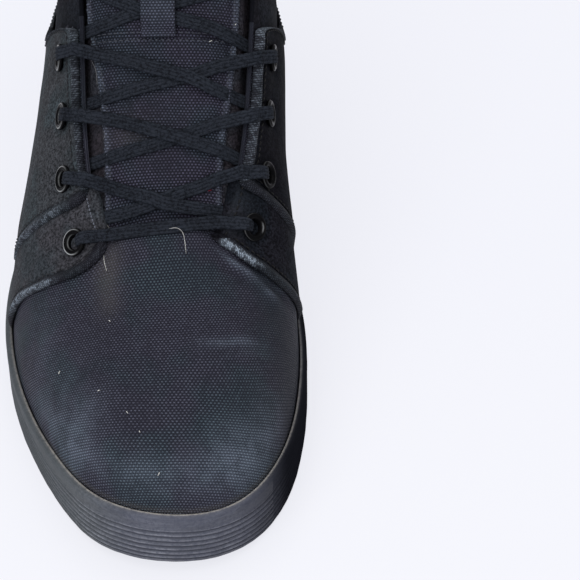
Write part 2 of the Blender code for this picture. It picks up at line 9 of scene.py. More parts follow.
import bmesh
import bpy
import numpy as np
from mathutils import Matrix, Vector


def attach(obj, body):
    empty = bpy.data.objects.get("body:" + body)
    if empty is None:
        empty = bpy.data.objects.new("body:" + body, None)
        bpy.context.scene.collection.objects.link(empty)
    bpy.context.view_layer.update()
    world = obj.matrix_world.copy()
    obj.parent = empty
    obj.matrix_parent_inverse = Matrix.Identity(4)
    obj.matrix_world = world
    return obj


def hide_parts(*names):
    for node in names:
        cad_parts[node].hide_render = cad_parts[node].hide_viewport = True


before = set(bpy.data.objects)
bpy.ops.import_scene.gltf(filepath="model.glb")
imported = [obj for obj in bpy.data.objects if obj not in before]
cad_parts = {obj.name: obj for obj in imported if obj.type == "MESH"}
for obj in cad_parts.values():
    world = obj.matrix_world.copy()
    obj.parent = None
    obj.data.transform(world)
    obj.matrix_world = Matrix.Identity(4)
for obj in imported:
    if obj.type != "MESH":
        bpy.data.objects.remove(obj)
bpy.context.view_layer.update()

MM = 0.001
TAU = 2 * math.pi

# Driving dimensions, in millimetres. They repeat the model's source, except that the laces
# are narrower here, and the eyelets, seams, lace rests and loop are placed more finely.
LAST_LENGTH = 293.0
GAP = 0.35
OVERLAY_GAP = 0.6
WALL = 1.8
CUFF_WALL = 4.2
SADDLE_THICK = 1.1
QUARTER_THICK = 1.9
TONGUE_THICK = 3.5
TONGUE_CLEARANCE = 2.35
ROOT_CLEARANCE = 1.25
INSOLE_THICK = 4.0
RIM_THICK = 2.5
LACE_WIDTH = 4.9
LACE_THICK = 1.45

SECTION_COLUMNS = (
    "along lateral medial base_z rim_lateral rim_medial lean rise y_lateral y_medial "
    "top_lateral top_medial top_z slope reach swell_lateral swell_medial"
).split()
SECTIONS = (
    (0, -11.6, 11.6, 16.0, 27, 27, 4, 38, -57, -57, -6, 6, 69, 21, 42, 0, 0),
    (8, 12.0, 33.2, 15.5, 26, 25.4, 4, 38, -57.3, -56.5, 2, 14, 68.8, 21, 40, 0, 0),
    (30, 28.3, 46.4, 13.2, 21.4, 23.4, 4, 36, -57.5, -56, 8, 20, 68, 22, 34, 0, 0),
    (62, 42.8, 52.2, 12.2, 17.7, 20.3, 4, 32, -57.5, -54, 13, 25, 66.5, 25, 25, 0, 0),
    (95, 50.9, 52.3, 12, 19.5, 21.6, 0, 26, -48, -45, 18, 29.5, 72.5, 31, 24, 0, 1),
    (130, 49.6, 46.5, 13, 22, 23, -2, 34, -29, -28, 22, 34, 85, 38, 26, 1, 4),
    (165, 42.0, 42, 15, 24, 25, 0, 46, -2, -2, 24, 36.5, 103, 44, 34, 4, 10),
    (200, 38.6, 40.5, 17.5, 26, 26.5, 0, 52, 26, 26, 26, 37.8, 130, 56, 40, 6, 14),
    (232, 36.2, 38, 19, 28, 28, 1, 54, 46, 46, 31, 38, 146, 78, 42, 3, 5),
    (265, 32.1, 32.5, 19.8, 29, 29, 3, 48, 92, 92, 33, 36, 141, 90, 40, 0, 0),
    (285, 21.7, 21.9, 20, 30, 30, 5, 44, 126, 126, 18.5, 20, 146, 94, 42, 0, 0),
    (293, -1, 1, 20, 30, 30, 6, 44, 133, 133, -1, 1, 148, 96, 42, 0, 0),
)
TOE_SPRING, TOE_SPRING_LENGTH = 5.0, 48.0
HEEL_BEVEL, HEEL_BEVEL_LENGTH = 1.6, 14.0
ARCH_HOLLOW, ARCH_FRONT, ARCH_BACK = 1.8, -12.0, 66.0
WALL_FLARE = 0.2
# For each row, on the lateral and on the medial side: station, distance from the facing's edge.
EYELETS = (
    ((5.5, 9.8), (9.4, 9.8)),
    ((26.0, 8.8), (26.4, 10.0)),
    ((48.2, 8.6), (48.4, 10.2)),
    ((70.2, 10.8), (69.8, 11.4)),
    ((99.0, 11.0), (99.0, 11.0)),
)
EYELET_GAP = 0.45
# Each front seam down a side, as v from the rim up and the lateral side's phi.
SADDLE_SEAMS = {
    -1: (
        (0.0, 1.225), (0.19, 1.182), (0.4, 1.142), (0.535, 1.088), (0.685, 1.02), (0.75, 0.978),
        (0.835, 0.925), (0.9, 0.888), (0.95, 0.878), (0.985, 0.925), (1.0, 0.96),
    ),
    1: (
        (0.0, 1.25), (0.23, 1.19), (0.45, 1.13), (0.618, 1.075), (0.715, 1.044), (0.79, 1.01),
        (0.885, 0.962), (0.95, 0.9), (0.98, 0.852), (1.0, 0.815),
    ),
}
QUARTER_SEAMS = {
    -1: (
        (0.0, 1.47), (0.12, 1.425), (0.2, 1.385), (0.26, 1.352), (0.365, 1.336), (0.435, 1.324),
        (0.605, 1.298), (0.72, 1.284), (0.815, 1.273), (0.91, 1.266), (0.96, 1.27), (0.985, 1.282),
        (1.0, 1.302),
    ),
    1: (
        (0.0, 1.38), (0.2, 1.365), (0.37, 1.348), (0.47, 1.332), (0.585, 1.316), (0.75, 1.302),
        (0.86, 1.305), (0.93, 1.306), (0.98, 1.31), (1.0, 1.322),
    ),
}
CUFF_STATION = 77.0
CUFF_FALL = 0.07
CUFF_HEIGHTS = (88.0, 86.0, 84.0)
TONGUE_OVERLAP = 12.0
TONGUE_CROWN = 0.2
TONGUE_EDGE = 0.62


# The surface, as in the model's source


def closed_spline(knots, values):
    """The smooth closed curve (cubic, period TAU) through the values, as a function."""
    knots, values = np.asarray(knots, float), np.asarray(values, float)
    count = len(knots)
    step = np.diff(np.append(knots, knots[0] + TAU))
    system, right = np.zeros((count, count)), np.zeros(count)
    for i in range(count):
        after = (i + 1) % count
        system[i, i - 1] += step[i - 1]
        system[i, i] += 2 * (step[i - 1] + step[i])
        system[i, after] += step[i]
        rise_after = (values[after] - values[i]) / step[i]
        rise_before = (values[i] - values[i - 1]) / step[i - 1]
        right[i] = 6 * (rise_after - rise_before)
    bend = np.linalg.solve(system, right)

    def at(phi):
        phi = np.mod(phi, TAU)
        i = np.clip(np.searchsorted(knots, phi, side="right") - 1, 0, count - 1)
        after = (i + 1) % count
        t = (phi - knots[i]) / step[i]
        straight = (1 - t) * values[i] + t * values[after]
        bulge = ((1 - t) ** 3 - (1 - t)) * bend[i] + (t**3 - t) * bend[after]
        return straight + step[i] ** 2 / 6 * bulge

    return at


def along_to_phi(along):
    return math.acos(1 - 2 * along / LAST_LENGTH)


def section_curves():
    """A closed curve over phi for each column of SECTIONS."""
    rows = {name: np.array(column, float) for name, column in zip(SECTION_COLUMNS, zip(*SECTIONS))}
    half = np.array([along_to_phi(a) for a in rows["along"]])
    knots = np.concatenate([half, TAU - half[-2:0:-1]])
    curves = {}
    for name in ("base_z", "lean", "rise", "top_z", "slope", "reach"):
        both = np.concatenate([rows[name], rows[name][-2:0:-1]])
        curves[name] = closed_spline(knots, both)
    for name, lateral, medial, sign in (
        ("base_x", "lateral", "medial", -1),
        ("top_x", "top_lateral", "top_medial", -1),
        ("top_y", "y_lateral", "y_medial", 1),
        ("swell", "swell_lateral", "swell_medial", -1),
        ("rim_z", "rim_lateral", "rim_medial", 1),
    ):
        both = np.concatenate([sign * rows[lateral], rows[medial][-2:0:-1]])
        curves[name] = closed_spline(knots, both)
    return curves


CURVES = section_curves()


LATERAL_SLIM, MEDIAL_SLIM = 0.010, 0.026


def on_upper(phi, v):
    """Points on the upper's outer face."""
    phi, v = np.broadcast_arrays(np.asarray(phi, float), np.asarray(v, float))
    c = {name: curve(phi) for name, curve in CURVES.items()}
    base = np.stack([c["base_x"], -LAST_LENGTH / 2 * np.cos(phi)], -1)
    top = np.stack([c["top_x"], c["top_y"]], -1)
    span = np.linalg.norm(base - top, axis=-1)
    outward = (base - top) / span[..., None]
    lean, slope = np.radians(c["lean"]), np.radians(c["slope"])
    across = (span, span + c["rise"] * np.sin(lean), c["reach"] * np.cos(slope), 0 * span)
    height = (
        c["base_z"],
        c["base_z"] + c["rise"] * np.cos(lean),
        c["top_z"] - c["reach"] * np.sin(slope),
        c["top_z"],
    )
    weights = ((1 - v) ** 3, 3 * v * (1 - v) ** 2, 3 * v**2 * (1 - v), v**3)
    r = sum(w * a for w, a in zip(weights, across))
    z = sum(w * h for w, h in zip(weights, height))
    points = np.concatenate([top + outward * r[..., None], z[..., None]], -1)
    points[..., 0] += weights[2] * c["swell"]
    # The ankle is a little slimmer than the last behind the facing's upper end.
    slim = np.where(points[..., 0] < 0, LATERAL_SLIM, MEDIAL_SLIM)
    waist = smooth(points[..., 2], 68, 86) * smooth(points[..., 1], 12, 34)
    points[..., 0] *= 1 - slim * waist
    return points


def upper_normal(phi, v):
    """Unit normals of the upper's outer face, pointing out."""
    e = 1e-3
    phi, v = np.broadcast_arrays(np.asarray(phi, float), np.asarray(v, float))
    v = np.clip(v, e, 1 - e)
    up = on_upper(phi, v + e) - on_upper(phi, v - e)
    along = on_upper(phi + e, v) - on_upper(phi - e, v)
    normal = np.cross(up, along)
    return normal / np.linalg.norm(normal, axis=-1, keepdims=True)


def upper_point(phi, v, lift=0.0):
    """Points at a distance lift outside the upper's outer face."""
    return on_upper(phi, v) + upper_normal(phi, v) * np.asarray(lift, float)[..., None]


def smooth(x, low, high):
    """0 below low, 1 above high, with an even ramp between them."""
    t = np.clip((np.asarray(x, float) - low) / (high - low), 0, 1)
    return t * t * (3 - 2 * t)


def v_at_height(phi, z):
    """The v at which each section first reaches height z."""
    levels = np.linspace(0, 0.98, 197)
    heights = on_upper(np.asarray(phi)[:, None], levels[None, :])[..., 2]
    return np.array([np.interp(want, row, levels) for want, row in zip(z, heights)])


THROAT_FRONT = along_to_phi(66)
THROAT_TOP = along_to_phi(224)


def facing_line():
    """phi and length up the facing's edge."""
    phi = np.linspace(THROAT_FRONT, THROAT_TOP, 200)
    edge = on_upper(phi, 1.0)
    steps = np.linalg.norm(np.diff(edge, axis=0), axis=1)
    return phi, np.concatenate([[0], np.cumsum(steps)])


FACING_PHI, FACING_STATION = facing_line()
FACING_LENGTH = float(FACING_STATION[-1])


def facing_phi(station, side):
    """phi where the facing's edge is that far up it. side is -1 lateral, +1 medial."""
    found = np.interp(station, FACING_STATION, FACING_PHI)
    return found if side < 0 else TAU - found


def v_below_edge(phi, inset):
    """The v that lies that far below the section's top edge."""
    levels = np.linspace(1, 0.4, 121)
    line = on_upper(phi, levels)
    length = np.concatenate([[0], np.cumsum(np.linalg.norm(np.diff(line, axis=0), axis=1))])
    return float(np.interp(inset, length, levels))


def side_phi(phi, side):
    """A phi of the lateral side, or its mirror on the medial side."""
    return phi if side < 0 else TAU - phi


def through_marks(marks, at):
    """A smooth curve through (place, value) marks: cubic pieces with the marks' own slopes."""
    place, value = (np.array(column) for column in zip(*marks))
    slope = np.gradient(value, place)
    at = np.clip(np.asarray(at, float), place[0], place[-1])
    i = np.clip(np.searchsorted(place, at, side="right") - 1, 0, len(place) - 2)
    step = place[i + 1] - place[i]
    t = (at - place[i]) / step
    start = (2 * t**3 - 3 * t * t + 1) * value[i] + (t**3 - 2 * t * t + t) * step * slope[i]
    end = (3 * t * t - 2 * t**3) * value[i + 1] + (t**3 - t * t) * step * slope[i + 1]
    return start + end


ROUND = np.linspace(0, TAU, 1441)
RIM_LEVELS = v_at_height(ROUND, CURVES["rim_z"](ROUND) + 0.8)


def rim_v(phi):
    """The v just above the sole's rim."""
    return np.interp(phi, ROUND, RIM_LEVELS)


def cuff_levels(side):
    """phi on the lateral side, and the v of the cuff's lower edge there on one side."""
    phi = np.linspace(0, math.pi, 721)
    corner = facing_phi(CUFF_STATION, -1)
    height = np.interp(phi, (corner, corner + 0.5, math.pi), CUFF_HEIGHTS)
    return phi, v_at_height(side_phi(phi, side), height)


CUFF_LEVELS = {side: cuff_levels(side) for side in (-1, 1)}


def cuff_v(phi, side):
    """Top edge of the quarter: the facing's edge, then a fall to below the collar."""
    corner = facing_phi(CUFF_STATION, -1)
    swept = np.interp(phi, *CUFF_LEVELS[side])
    return 1 - smooth(phi, corner, corner + CUFF_FALL) * (1 - swept)


def ground_height(y):
    """The sole's underside: toe spring, heel bevel and a shallow arch between two flats."""
    toe = -LAST_LENGTH / 2 - RIM_THICK
    heel = LAST_LENGTH / 2 + RIM_THICK
    spring = TOE_SPRING * np.clip((toe + TOE_SPRING_LENGTH - y) / TOE_SPRING_LENGTH, 0, None) ** 2
    bevel = HEEL_BEVEL * np.clip((y - heel + HEEL_BEVEL_LENGTH) / HEEL_BEVEL_LENGTH, 0, None) ** 2
    middle = np.clip((y - ARCH_FRONT) / (ARCH_BACK - ARCH_FRONT), 0, 1)
    return spring + bevel + ARCH_HOLLOW * np.sin(math.pi * middle) ** 2


def plan_normals(ring):
    """Outward unit normals of a ring of points, seen from above."""
    ahead = np.roll(ring, -1, 0) - np.roll(ring, 1, 0)
    normal = np.stack([-ahead[:, 1], ahead[:, 0], 0 * ahead[:, 0]], -1)
    return normal / np.linalg.norm(normal, axis=1, keepdims=True)


def wall_thickness(phi, v):
    """The upper's wall, thicker where the collar is padded."""
    back = smooth(-np.cos(phi), 0.55, 0.8)
    return WALL + (CUFF_WALL - WALL) * back * smooth(v, 0.62, 0.85) * (1 - 0.45 * smooth(v, 0.93, 1))


def tongue_depth(station):
    """How far the tongue's outer face lies under the facing's outer face."""
    return WALL + ROOT_CLEARANCE + (TONGUE_CLEARANCE - ROOT_CLEARANCE) * smooth(station, 3, 16)


def tongue_line(station, cross, lift):
    """Points across the tongue's outer face: cross runs -1 to 1, edge to edge."""
    ends = []
    for side in (-1, 1):
        phi = facing_phi(station, side)
        inset = v_below_edge(phi, TONGUE_OVERLAP)
        depth = lift - tongue_depth(station)
        ends.append((upper_point(phi, 1.0, depth), upper_point(phi, inset, depth)))
    (left, left_low), (right, right_low) = ends
    reach = TONGUE_CROWN * np.linalg.norm(right - left)
    left_handle = left + reach * (left - left_low) / np.linalg.norm(left - left_low)
    right_handle = right + reach * (right - right_low) / np.linalg.norm(right - right_low)
    points = []
    for c in cross:
        if abs(c) > TONGUE_EDGE:
            share = (abs(c) - TONGUE_EDGE) / (1 - TONGUE_EDGE)
            near, far = (left, left_low) if c < 0 else (right, right_low)
            points.append(near + (far - near) * share)
        else:
            t = (c + TONGUE_EDGE) / (2 * TONGUE_EDGE)
            weights = ((1 - t) ** 3, 3 * t * (1 - t) ** 2, 3 * t * t * (1 - t), t**3)
            handles = (left, left_handle, right_handle, right)
            points.append(sum(w * p for w, p in zip(weights, handles)))
    return np.array(points)


def tongue_root(cross, tuck, lift):
    """Points across the tongue where it is tucked that far under the vamp."""
    corner = facing_phi(0, -1)
    points = []
    for c in cross:
        share = min(abs(c) / TONGUE_EDGE, 1)
        below = tuck + max(abs(c) - TONGUE_EDGE, 0) / (1 - TONGUE_EDGE) * (TONGUE_OVERLAP - 4)
        phi = corner * share if c < 0 else TAU - corner * share
        v = v_below_edge(phi, below)
        points.append(upper_point(phi, v, lift - WALL - ROOT_CLEARANCE))
    return np.array(points)


# Meshes


class Piece:
    """A mesh gathered from grids of points, each with its cloth map, wear, dust and painted shade (the deep
    mark).
    """

    def __init__(self, name, *finishes):
        self.name = name
        self.finishes = finishes
        self.points, self.maps, self.marks, self.faces, self.slots = [], [], [], [], []
        self.count = 0

    def grid(self, points, cloth=None, wear=0.0, dust=0.0, deep=0.0, slot=0, wrap=False, flip=False):
        """Adds rows of points. With wrap the last column runs on into the first."""
        if wrap:
            points = np.concatenate([points, points[:, :1]], axis=1)
        rows, columns = points.shape[:2]
        shape = (rows, columns)
        if cloth is None:
            cloth = cumulative_map(points)
        marks = np.stack([np.broadcast_to(mark, shape) for mark in (wear, dust, deep)], -1)
        here = self.count + np.arange(rows * columns).reshape(shape)
        corners = [here[:-1, :-1], here[:-1, 1:], here[1:, 1:], here[1:, :-1]]
        if flip:
            corners.reverse()
        faces = np.stack(corners, -1).reshape(-1, 4)
        self.points.append(points.reshape(-1, 3))
        self.maps.append(np.asarray(cloth, float).reshape(-1, 2))
        self.marks.append(marks.reshape(-1, 3))
        self.faces.append(faces)
        self.slots.append(np.broadcast_to(slot, (rows - 1, columns - 1)).reshape(-1))
        self.count += rows * columns

    def build(self, crease=None):
        """The object: points that meet are joined, and normals turned outwards."""
        points, maps, marks, faces, slots = (
            np.concatenate(part)
            for part in (self.points, self.maps, self.marks, self.faces, self.slots)
        )
        keys = np.round(points * 400).astype(np.int64)
        _, first, index = np.unique(keys, axis=0, return_index=True, return_inverse=True)
        index = index.reshape(-1)
        polygons, corners, finishes = [], [], []
        for face, slot in zip(faces, slots):
            joined = index[face]
            kept = [i for i in range(4) if joined[i] != joined[i - 1]]
            if len(kept) > 2 and len(set(joined[kept])) == len(kept):
                polygons.append([int(joined[i]) for i in kept])
                corners.extend(int(face[i]) for i in kept)
                finishes.append(int(slot))
        mesh = bpy.data.meshes.new(self.name)
        mesh.from_pydata((points[first] * MM).tolist(), [], polygons)
        cloth = mesh.uv_layers.new(name="cloth")
        cloth.data.foreach_set("uv", maps[corners].ravel())
        for i, mark in enumerate(("wear", "dust", "deep")):
            layer = mesh.attributes.new(mark, "FLOAT", "POINT")
            layer.data.foreach_set("value", marks[first, i].astype(np.float32))
        mesh.polygons.foreach_set("material_index", finishes)
        work = bmesh.new()
        work.from_mesh(mesh)
        bmesh.ops.recalc_face_normals(work, faces=work.faces)
        work.to_mesh(mesh)
        work.free()
        mesh.shade_smooth()
        obj = bpy.data.objects.new(self.name, mesh)
        bpy.context.scene.collection.objects.link(obj)
        for finish in self.finishes:
            mesh.materials.append(finish)
        if crease is not None:
            mesh.set_sharp_from_angle(angle=math.radians(crease))
        return obj


def cumulative_map(points):
    """A cloth map in millimetres, from the lengths along the rows and down the columns."""
    across = np.linalg.norm(np.diff(points, axis=1), axis=-1)
    down = np.linalg.norm(np.diff(points, axis=0), axis=-1)
    u = np.concatenate([np.zeros((points.shape[0], 1)), np.cumsum(across, axis=1)], axis=1)
    v = np.concatenate([np.zeros((1, points.shape[1])), np.cumsum(down, axis=0)], axis=0)
    return np.stack([u, v], -1)


def frames_along(route, normals):
    """Unit vectors across a route, square to it and to its normals, and the true normals."""
    ahead = np.gradient(route, axis=0)
    ahead /= np.linalg.norm(ahead, axis=1, keepdims=True)
    across = np.cross(ahead, normals)
    across /= np.linalg.norm(across, axis=1, keepdims=True)
    up = np.cross(across, ahead)
    return ahead, across, up


def sweep(piece, route, normals, section, scales=None, girth=None, **marks):
    """A closed section of (across, up) swept along a route, with both ends closed.

    girth is the cloth map's length round the section, where it isn't the plain one.
    """
    route, section = np.asarray(route, float), np.asarray(section, float)
    _, across, up = frames_along(route, np.asarray(normals, float))
    sizes = np.ones((len(route), 2)) if scales is None else np.asarray(scales, float)
    rows = (
        route[:, None]
        + across[:, None] * (section[None, :, :1] * sizes[:, None, :1])
        + up[:, None] * (section[None, :, 1:] * sizes[:, None, 1:])
    )
    length = np.concatenate([[0], np.cumsum(np.linalg.norm(np.diff(route, axis=0), axis=1))])
    if girth is None:
        ring = np.concatenate([section, section[:1]])
        girth = np.concatenate([[0], np.cumsum(np.linalg.norm(np.diff(ring, axis=0), axis=1))])
    cloth = np.stack(np.broadcast_arrays(girth[None, :], length[:, None]), -1)
    piece.grid(rows, cloth, wrap=True, **marks)
    for end, flip in ((rows[:1], True), (rows[-1:], False)):
        middle = np.broadcast_to(end.mean(axis=1, keepdims=True), end.shape)
        piece.grid(np.concatenate([end, middle]), wrap=True, flip=flip, slot=marks.get("slot", 0))


def circle_section(radius, sides):
    angle = np.linspace(0, TAU, sides, endpoint=False)
    return np.stack([radius * np.cos(angle), radius * np.sin(angle)], -1)


def resampled(route, step):
    """A route of points spaced evenly about that far apart."""
    route = np.asarray(route, float)
    length = np.concatenate([[0], np.cumsum(np.linalg.norm(np.diff(route, axis=0), axis=1))])
    wanted = np.linspace(0, length[-1], max(int(length[-1] / step) + 1, 3))
    return np.stack([np.interp(wanted, length, route[:, i]) for i in range(route.shape[1])], -1)


def spline(points, count):
    """A smooth curve through the points (Catmull-Rom), as that many points."""
    points = np.asarray(points, float)
    padded = np.concatenate([2 * points[:1] - points[1:2], points, 2 * points[-1:] - points[-2:-1]])
    out = []
    for t in np.linspace(0, len(points) - 1 - 1e-9, count):
        i = int(t)
        s = t - i
        a, b, c, d = padded[i : i + 4]
        out.append(
            b
            + 0.5 * s * (c - a)
            + s * s * (a - 2.5 * b + 2 * c - 0.5 * d)
            + s**3 * (1.5 * b - 0.5 * a - 1.5 * c + 0.5 * d)
        )
    return np.array(out)


def stitch_row(piece, points, normals, pitch, length, radius, slant=0.0, sink=0.35, slot=0):
    """Threads laid end to end along a line, each a short rounded stitch."""
    both = resampled(np.concatenate([points, normals], axis=1), 0.5)
    line, ups = both[:, :3], both[:, 3:]
    ups = ups / np.linalg.norm(ups, axis=1, keepdims=True)
    run = np.concatenate([[0], np.cumsum(np.linalg.norm(np.diff(line, axis=0), axis=1))])
    count = int(run[-1] / pitch)
    section = circle_section(radius, 6)
    for i in range(count):
        middle = (i + 0.5) * run[-1] / count
        ends = middle + np.linspace(-0.5, 0.5, 5) * length
        spot = np.stack([np.interp(ends, run, line[:, k]) for k in range(3)], -1)
        up = np.stack([np.interp(ends, run, ups[:, k]) for k in range(3)], -1)
        ahead = spot[-1] - spot[0]
        ahead /= np.linalg.norm(ahead)
        aside = np.cross(ahead, up[2])
        height = np.array([-sink, 0.65, 1.0, 0.65, -sink]) * radius
        spot = spot + up * height[:, None] + aside * (np.linspace(-0.5, 0.5, 5) * slant)[:, None]
        scale = np.array([0.5, 0.95, 1.0, 0.95, 0.5])
        sweep(piece, spot, up, section, np.stack([scale, scale], -1), slot=slot)


def ride(obj):
    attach(obj, "root")
    return obj


# Materials

# The weave: how much of each turn a weft crown takes, how steeply its sides fall, and how
# high the warp stands beside it.
CROWN_SHARE = 0.72
CROWN_SHARPNESS = 1.7
WARP_HEIGHT = 0.42


class Shader:
    """A node material written as sums: each method adds one node and returns its output."""

    def __init__(self, name):
        self.material = bpy.data.materials.new(name)
        self.material.use_nodes = True
        self.tree = self.material.node_tree
        self.tree.nodes.clear()
        self.nodes = self.tree.nodes

    def put(self, socket, value):
        if isinstance(value, bpy.types.NodeSocket):
            self.tree.links.new(value, socket)
        else:
            socket.default_value = value

    def math(self, operation, a, b=0.0, clamp=False):
        node = self.nodes.new("ShaderNodeMath")
        node.operation = operation
        node.use_clamp = clamp
        self.put(node.inputs[0], a)
        self.put(node.inputs[1], b)
        return node.outputs[0]

    def plus(self, a, b):
        return self.math("ADD", a, b)

    def minus(self, a, b):
        return self.math("SUBTRACT", a, b)

    def times(self, *values, clamp=False):
        """The product of the values, held to 0..1 at its last step if clamped."""
        product = values[0]
        for value in values[1:-1]:
            product = self.math("MULTIPLY", product, value)
        return self.math("MULTIPLY", product, values[-1], clamp)

    def wave(self, operation, value):
        """The size of a sine or cosine, whichever the operation names."""
        return self.math("ABSOLUTE", self.math(operation, value))

    def marked(self, name, grain, *levels):
        """A mark's strength, broken up by a ramp over a grain."""
        return self.times(self.mark(name), self.ramp(grain, *levels), clamp=True)

    def mix(self, share, a, b):
        """A colour between a and b."""
        node = self.nodes.new("ShaderNodeMix")
        node.data_type = "RGBA"
        self.put(node.inputs[0], share)
        self.put(node.inputs[6], (*a, 1.0) if isinstance(a, tuple) else a)
        self.put(node.inputs[7], (*b, 1.0) if isinstance(b, tuple) else b)
        return node.outputs[2]

    def tinted(self, colour, tint):
        """One colour multiplied by another."""
        node = self.nodes.new("ShaderNodeMix")
        node.data_type = "RGBA"
        node.blend_type = "MULTIPLY"
        node.inputs[0].default_value = 1.0
        self.put(node.inputs[6], colour)
        self.put(node.inputs[7], tint)
        return node.outputs[2]

    def ramp(self, value, low, high, start=0.0, end=1.0):
        """value brought evenly from low..high to start..end, and held there."""
        node = self.nodes.new("ShaderNodeMapRange")
        node.interpolation_type = "SMOOTHSTEP"
        for socket, number in zip(node.inputs, (value, low, high, start, end)):
            self.put(socket, number)
        return node.outputs[0]

    def place(self):
        """Where a point lies, in millimetres."""
        node = self.nodes.new("ShaderNodeTexCoord")
        scaled = self.nodes.new("ShaderNodeVectorMath")
        scaled.operation = "SCALE"
        self.tree.links.new(node.outputs["Object"], scaled.inputs[0])
        scaled.inputs["Scale"].default_value = 1000.0
        return scaled.outputs[0]

    def cloth(self):
        """The cloth map's two lengths, in millimetres."""
        node = self.nodes.new("ShaderNodeUVMap")
        node.uv_map = "cloth"
        parts = self.nodes.new("ShaderNodeSeparateXYZ")
        self.tree.links.new(node.outputs[0], parts.inputs[0])
        return parts.outputs[0], parts.outputs[1]

    def mark(self, name):
        node = self.nodes.new("ShaderNodeAttribute")
        node.attribute_name = name
        return node.outputs["Fac"]

    def stretch(self, vector, scale, offset=(0, 0, 0)):
        node = self.nodes.new("ShaderNodeMapping")
        self.put(node.inputs["Vector"], vector)
        node.inputs["Scale"].default_value = scale
        node.inputs["Location"].default_value = offset
        return node.outputs[0]

    def combine(self, x, y, z=0.0):
        node = self.nodes.new("ShaderNodeCombineXYZ")
        for socket, value in zip(node.inputs, (x, y, z)):
            self.put(socket, value)
        return node.outputs[0]

    def noise(self, vector, scale, detail=2.0, rough=0.5):
        """A soft noise, about 0.5 on average."""
        node = self.nodes.new("ShaderNodeTexNoise")
        self.put(node.inputs["Vector"], vector)
        node.inputs["Scale"].default_value = scale
        node.inputs["Detail"].default_value = detail
        node.inputs["Roughness"].default_value = rough
        return node.outputs["Fac"]

    def speckle(self, vector, scale):
        """A random value for each cell of a grid."""
        node = self.nodes.new("ShaderNodeTexWhiteNoise")
        node.noise_dimensions = "2D"
        scaled = self.nodes.new("ShaderNodeVectorMath")
        scaled.operation = "SCALE"
        self.put(scaled.inputs[0], vector)
        scaled.inputs["Scale"].default_value = scale
        floor = self.nodes.new("ShaderNodeVectorMath")
        floor.operation = "FLOOR"
        self.tree.links.new(scaled.outputs[0], floor.inputs[0])
        self.tree.links.new(floor.outputs[0], node.inputs["Vector"])
        return node.outputs["Value"]

    def bump(self, height, distance, strength=1.0, after=None):
        node = self.nodes.new("ShaderNodeBump")
        node.inputs["Strength"].default_value = strength
        node.inputs["Distance"].default_value = distance * MM
        self.put(node.inputs["Height"], height)
        if after is not None:
            self.put(node.inputs["Normal"], after)
        return node.outputs[0]

    def finish(self, colour, rough, normal=None, metal=0.0, specular=0.5, **constants):
        """Ends the material in one surface shader. Constants are plain numbers or colours."""
        shader = self.nodes.new("ShaderNodeBsdfPrincipled")
        output = self.nodes.new("ShaderNodeOutputMaterial")
        self.put(shader.inputs["Base Color"], (*colour, 1.0) if isinstance(colour, tuple) else colour)
        self.put(shader.inputs["Roughness"], rough)
        self.put(shader.inputs["Metallic"], metal)
        shader.inputs["Specular IOR Level"].default_value = specular
        for name, value in constants.items():
            shader.inputs[name.replace("_", " ")].default_value = value
        if normal is not None:
            self.put(shader.inputs["Normal"], normal)
        self.tree.links.new(shader.outputs[0], output.inputs[0])
        return self.material


def weave(shader, u, w, pitch_u, pitch_w, drift):
    """A plain weave: (height of its threads, share of the weft showing, speckle by thread).

    Weft crowns stand in rows, each row half a pitch on from the last.
    """
    wander = shader.noise(shader.combine(u, w), 0.05, 1.0)
    bend = shader.times(shader.minus(wander, 0.5), drift)
    u, w = shader.plus(u, bend), shader.plus(w, bend)
    across = shader.math("DIVIDE", u, pitch_u)
    along = shader.math("DIVIDE", w, pitch_w)
    row = shader.math("FLOOR", along)
    phase = shader.plus(shader.times(across, TAU), shader.times(row, math.pi))
    crown = shader.plus(shader.math("COSINE", phase), CROWN_SHARE)
    crown = shader.math("MINIMUM", shader.math("MAXIMUM", crown, 0.0), 1.0)
    across_thread = shader.wave("SINE", shader.times(shader.math("FRACT", along), math.pi))
    weft = shader.times(crown, shader.math("POWER", across_thread, CROWN_SHARPNESS))
    warp_side = shader.math("MAXIMUM", shader.minus(0.25, shader.math("COSINE", phase)), 0.0)
    warp = shader.times(warp_side, shader.wave("COSINE", shader.times(across, TAU)), WARP_HEIGHT)
    height = shader.math("MAXIMUM", weft, warp)
    thread_number = shader.math("FLOOR", shader.plus(shader.math("DIVIDE", phase, TAU), 0.5))
    return height, weft, shader.speckle(shader.combine(thread_number, row), 1.0)


# Finishes

# Colours are linear. Dark cloths carry a blue-black dye that rubs to a paler blue-grey.
CANVAS_DEEP = (0.0150, 0.0166, 0.0258)
CANVAS_CROWN = (0.070, 0.085, 0.112)
CANVAS_RUBBED = (0.22, 0.265, 0.34)
BEADS_RUBBED = (0.44, 0.52, 0.62)
EDGING_DEEP = (0.0055, 0.0062, 0.0098)
CANVAS_DUSTY = (0.098, 0.090, 0.085)


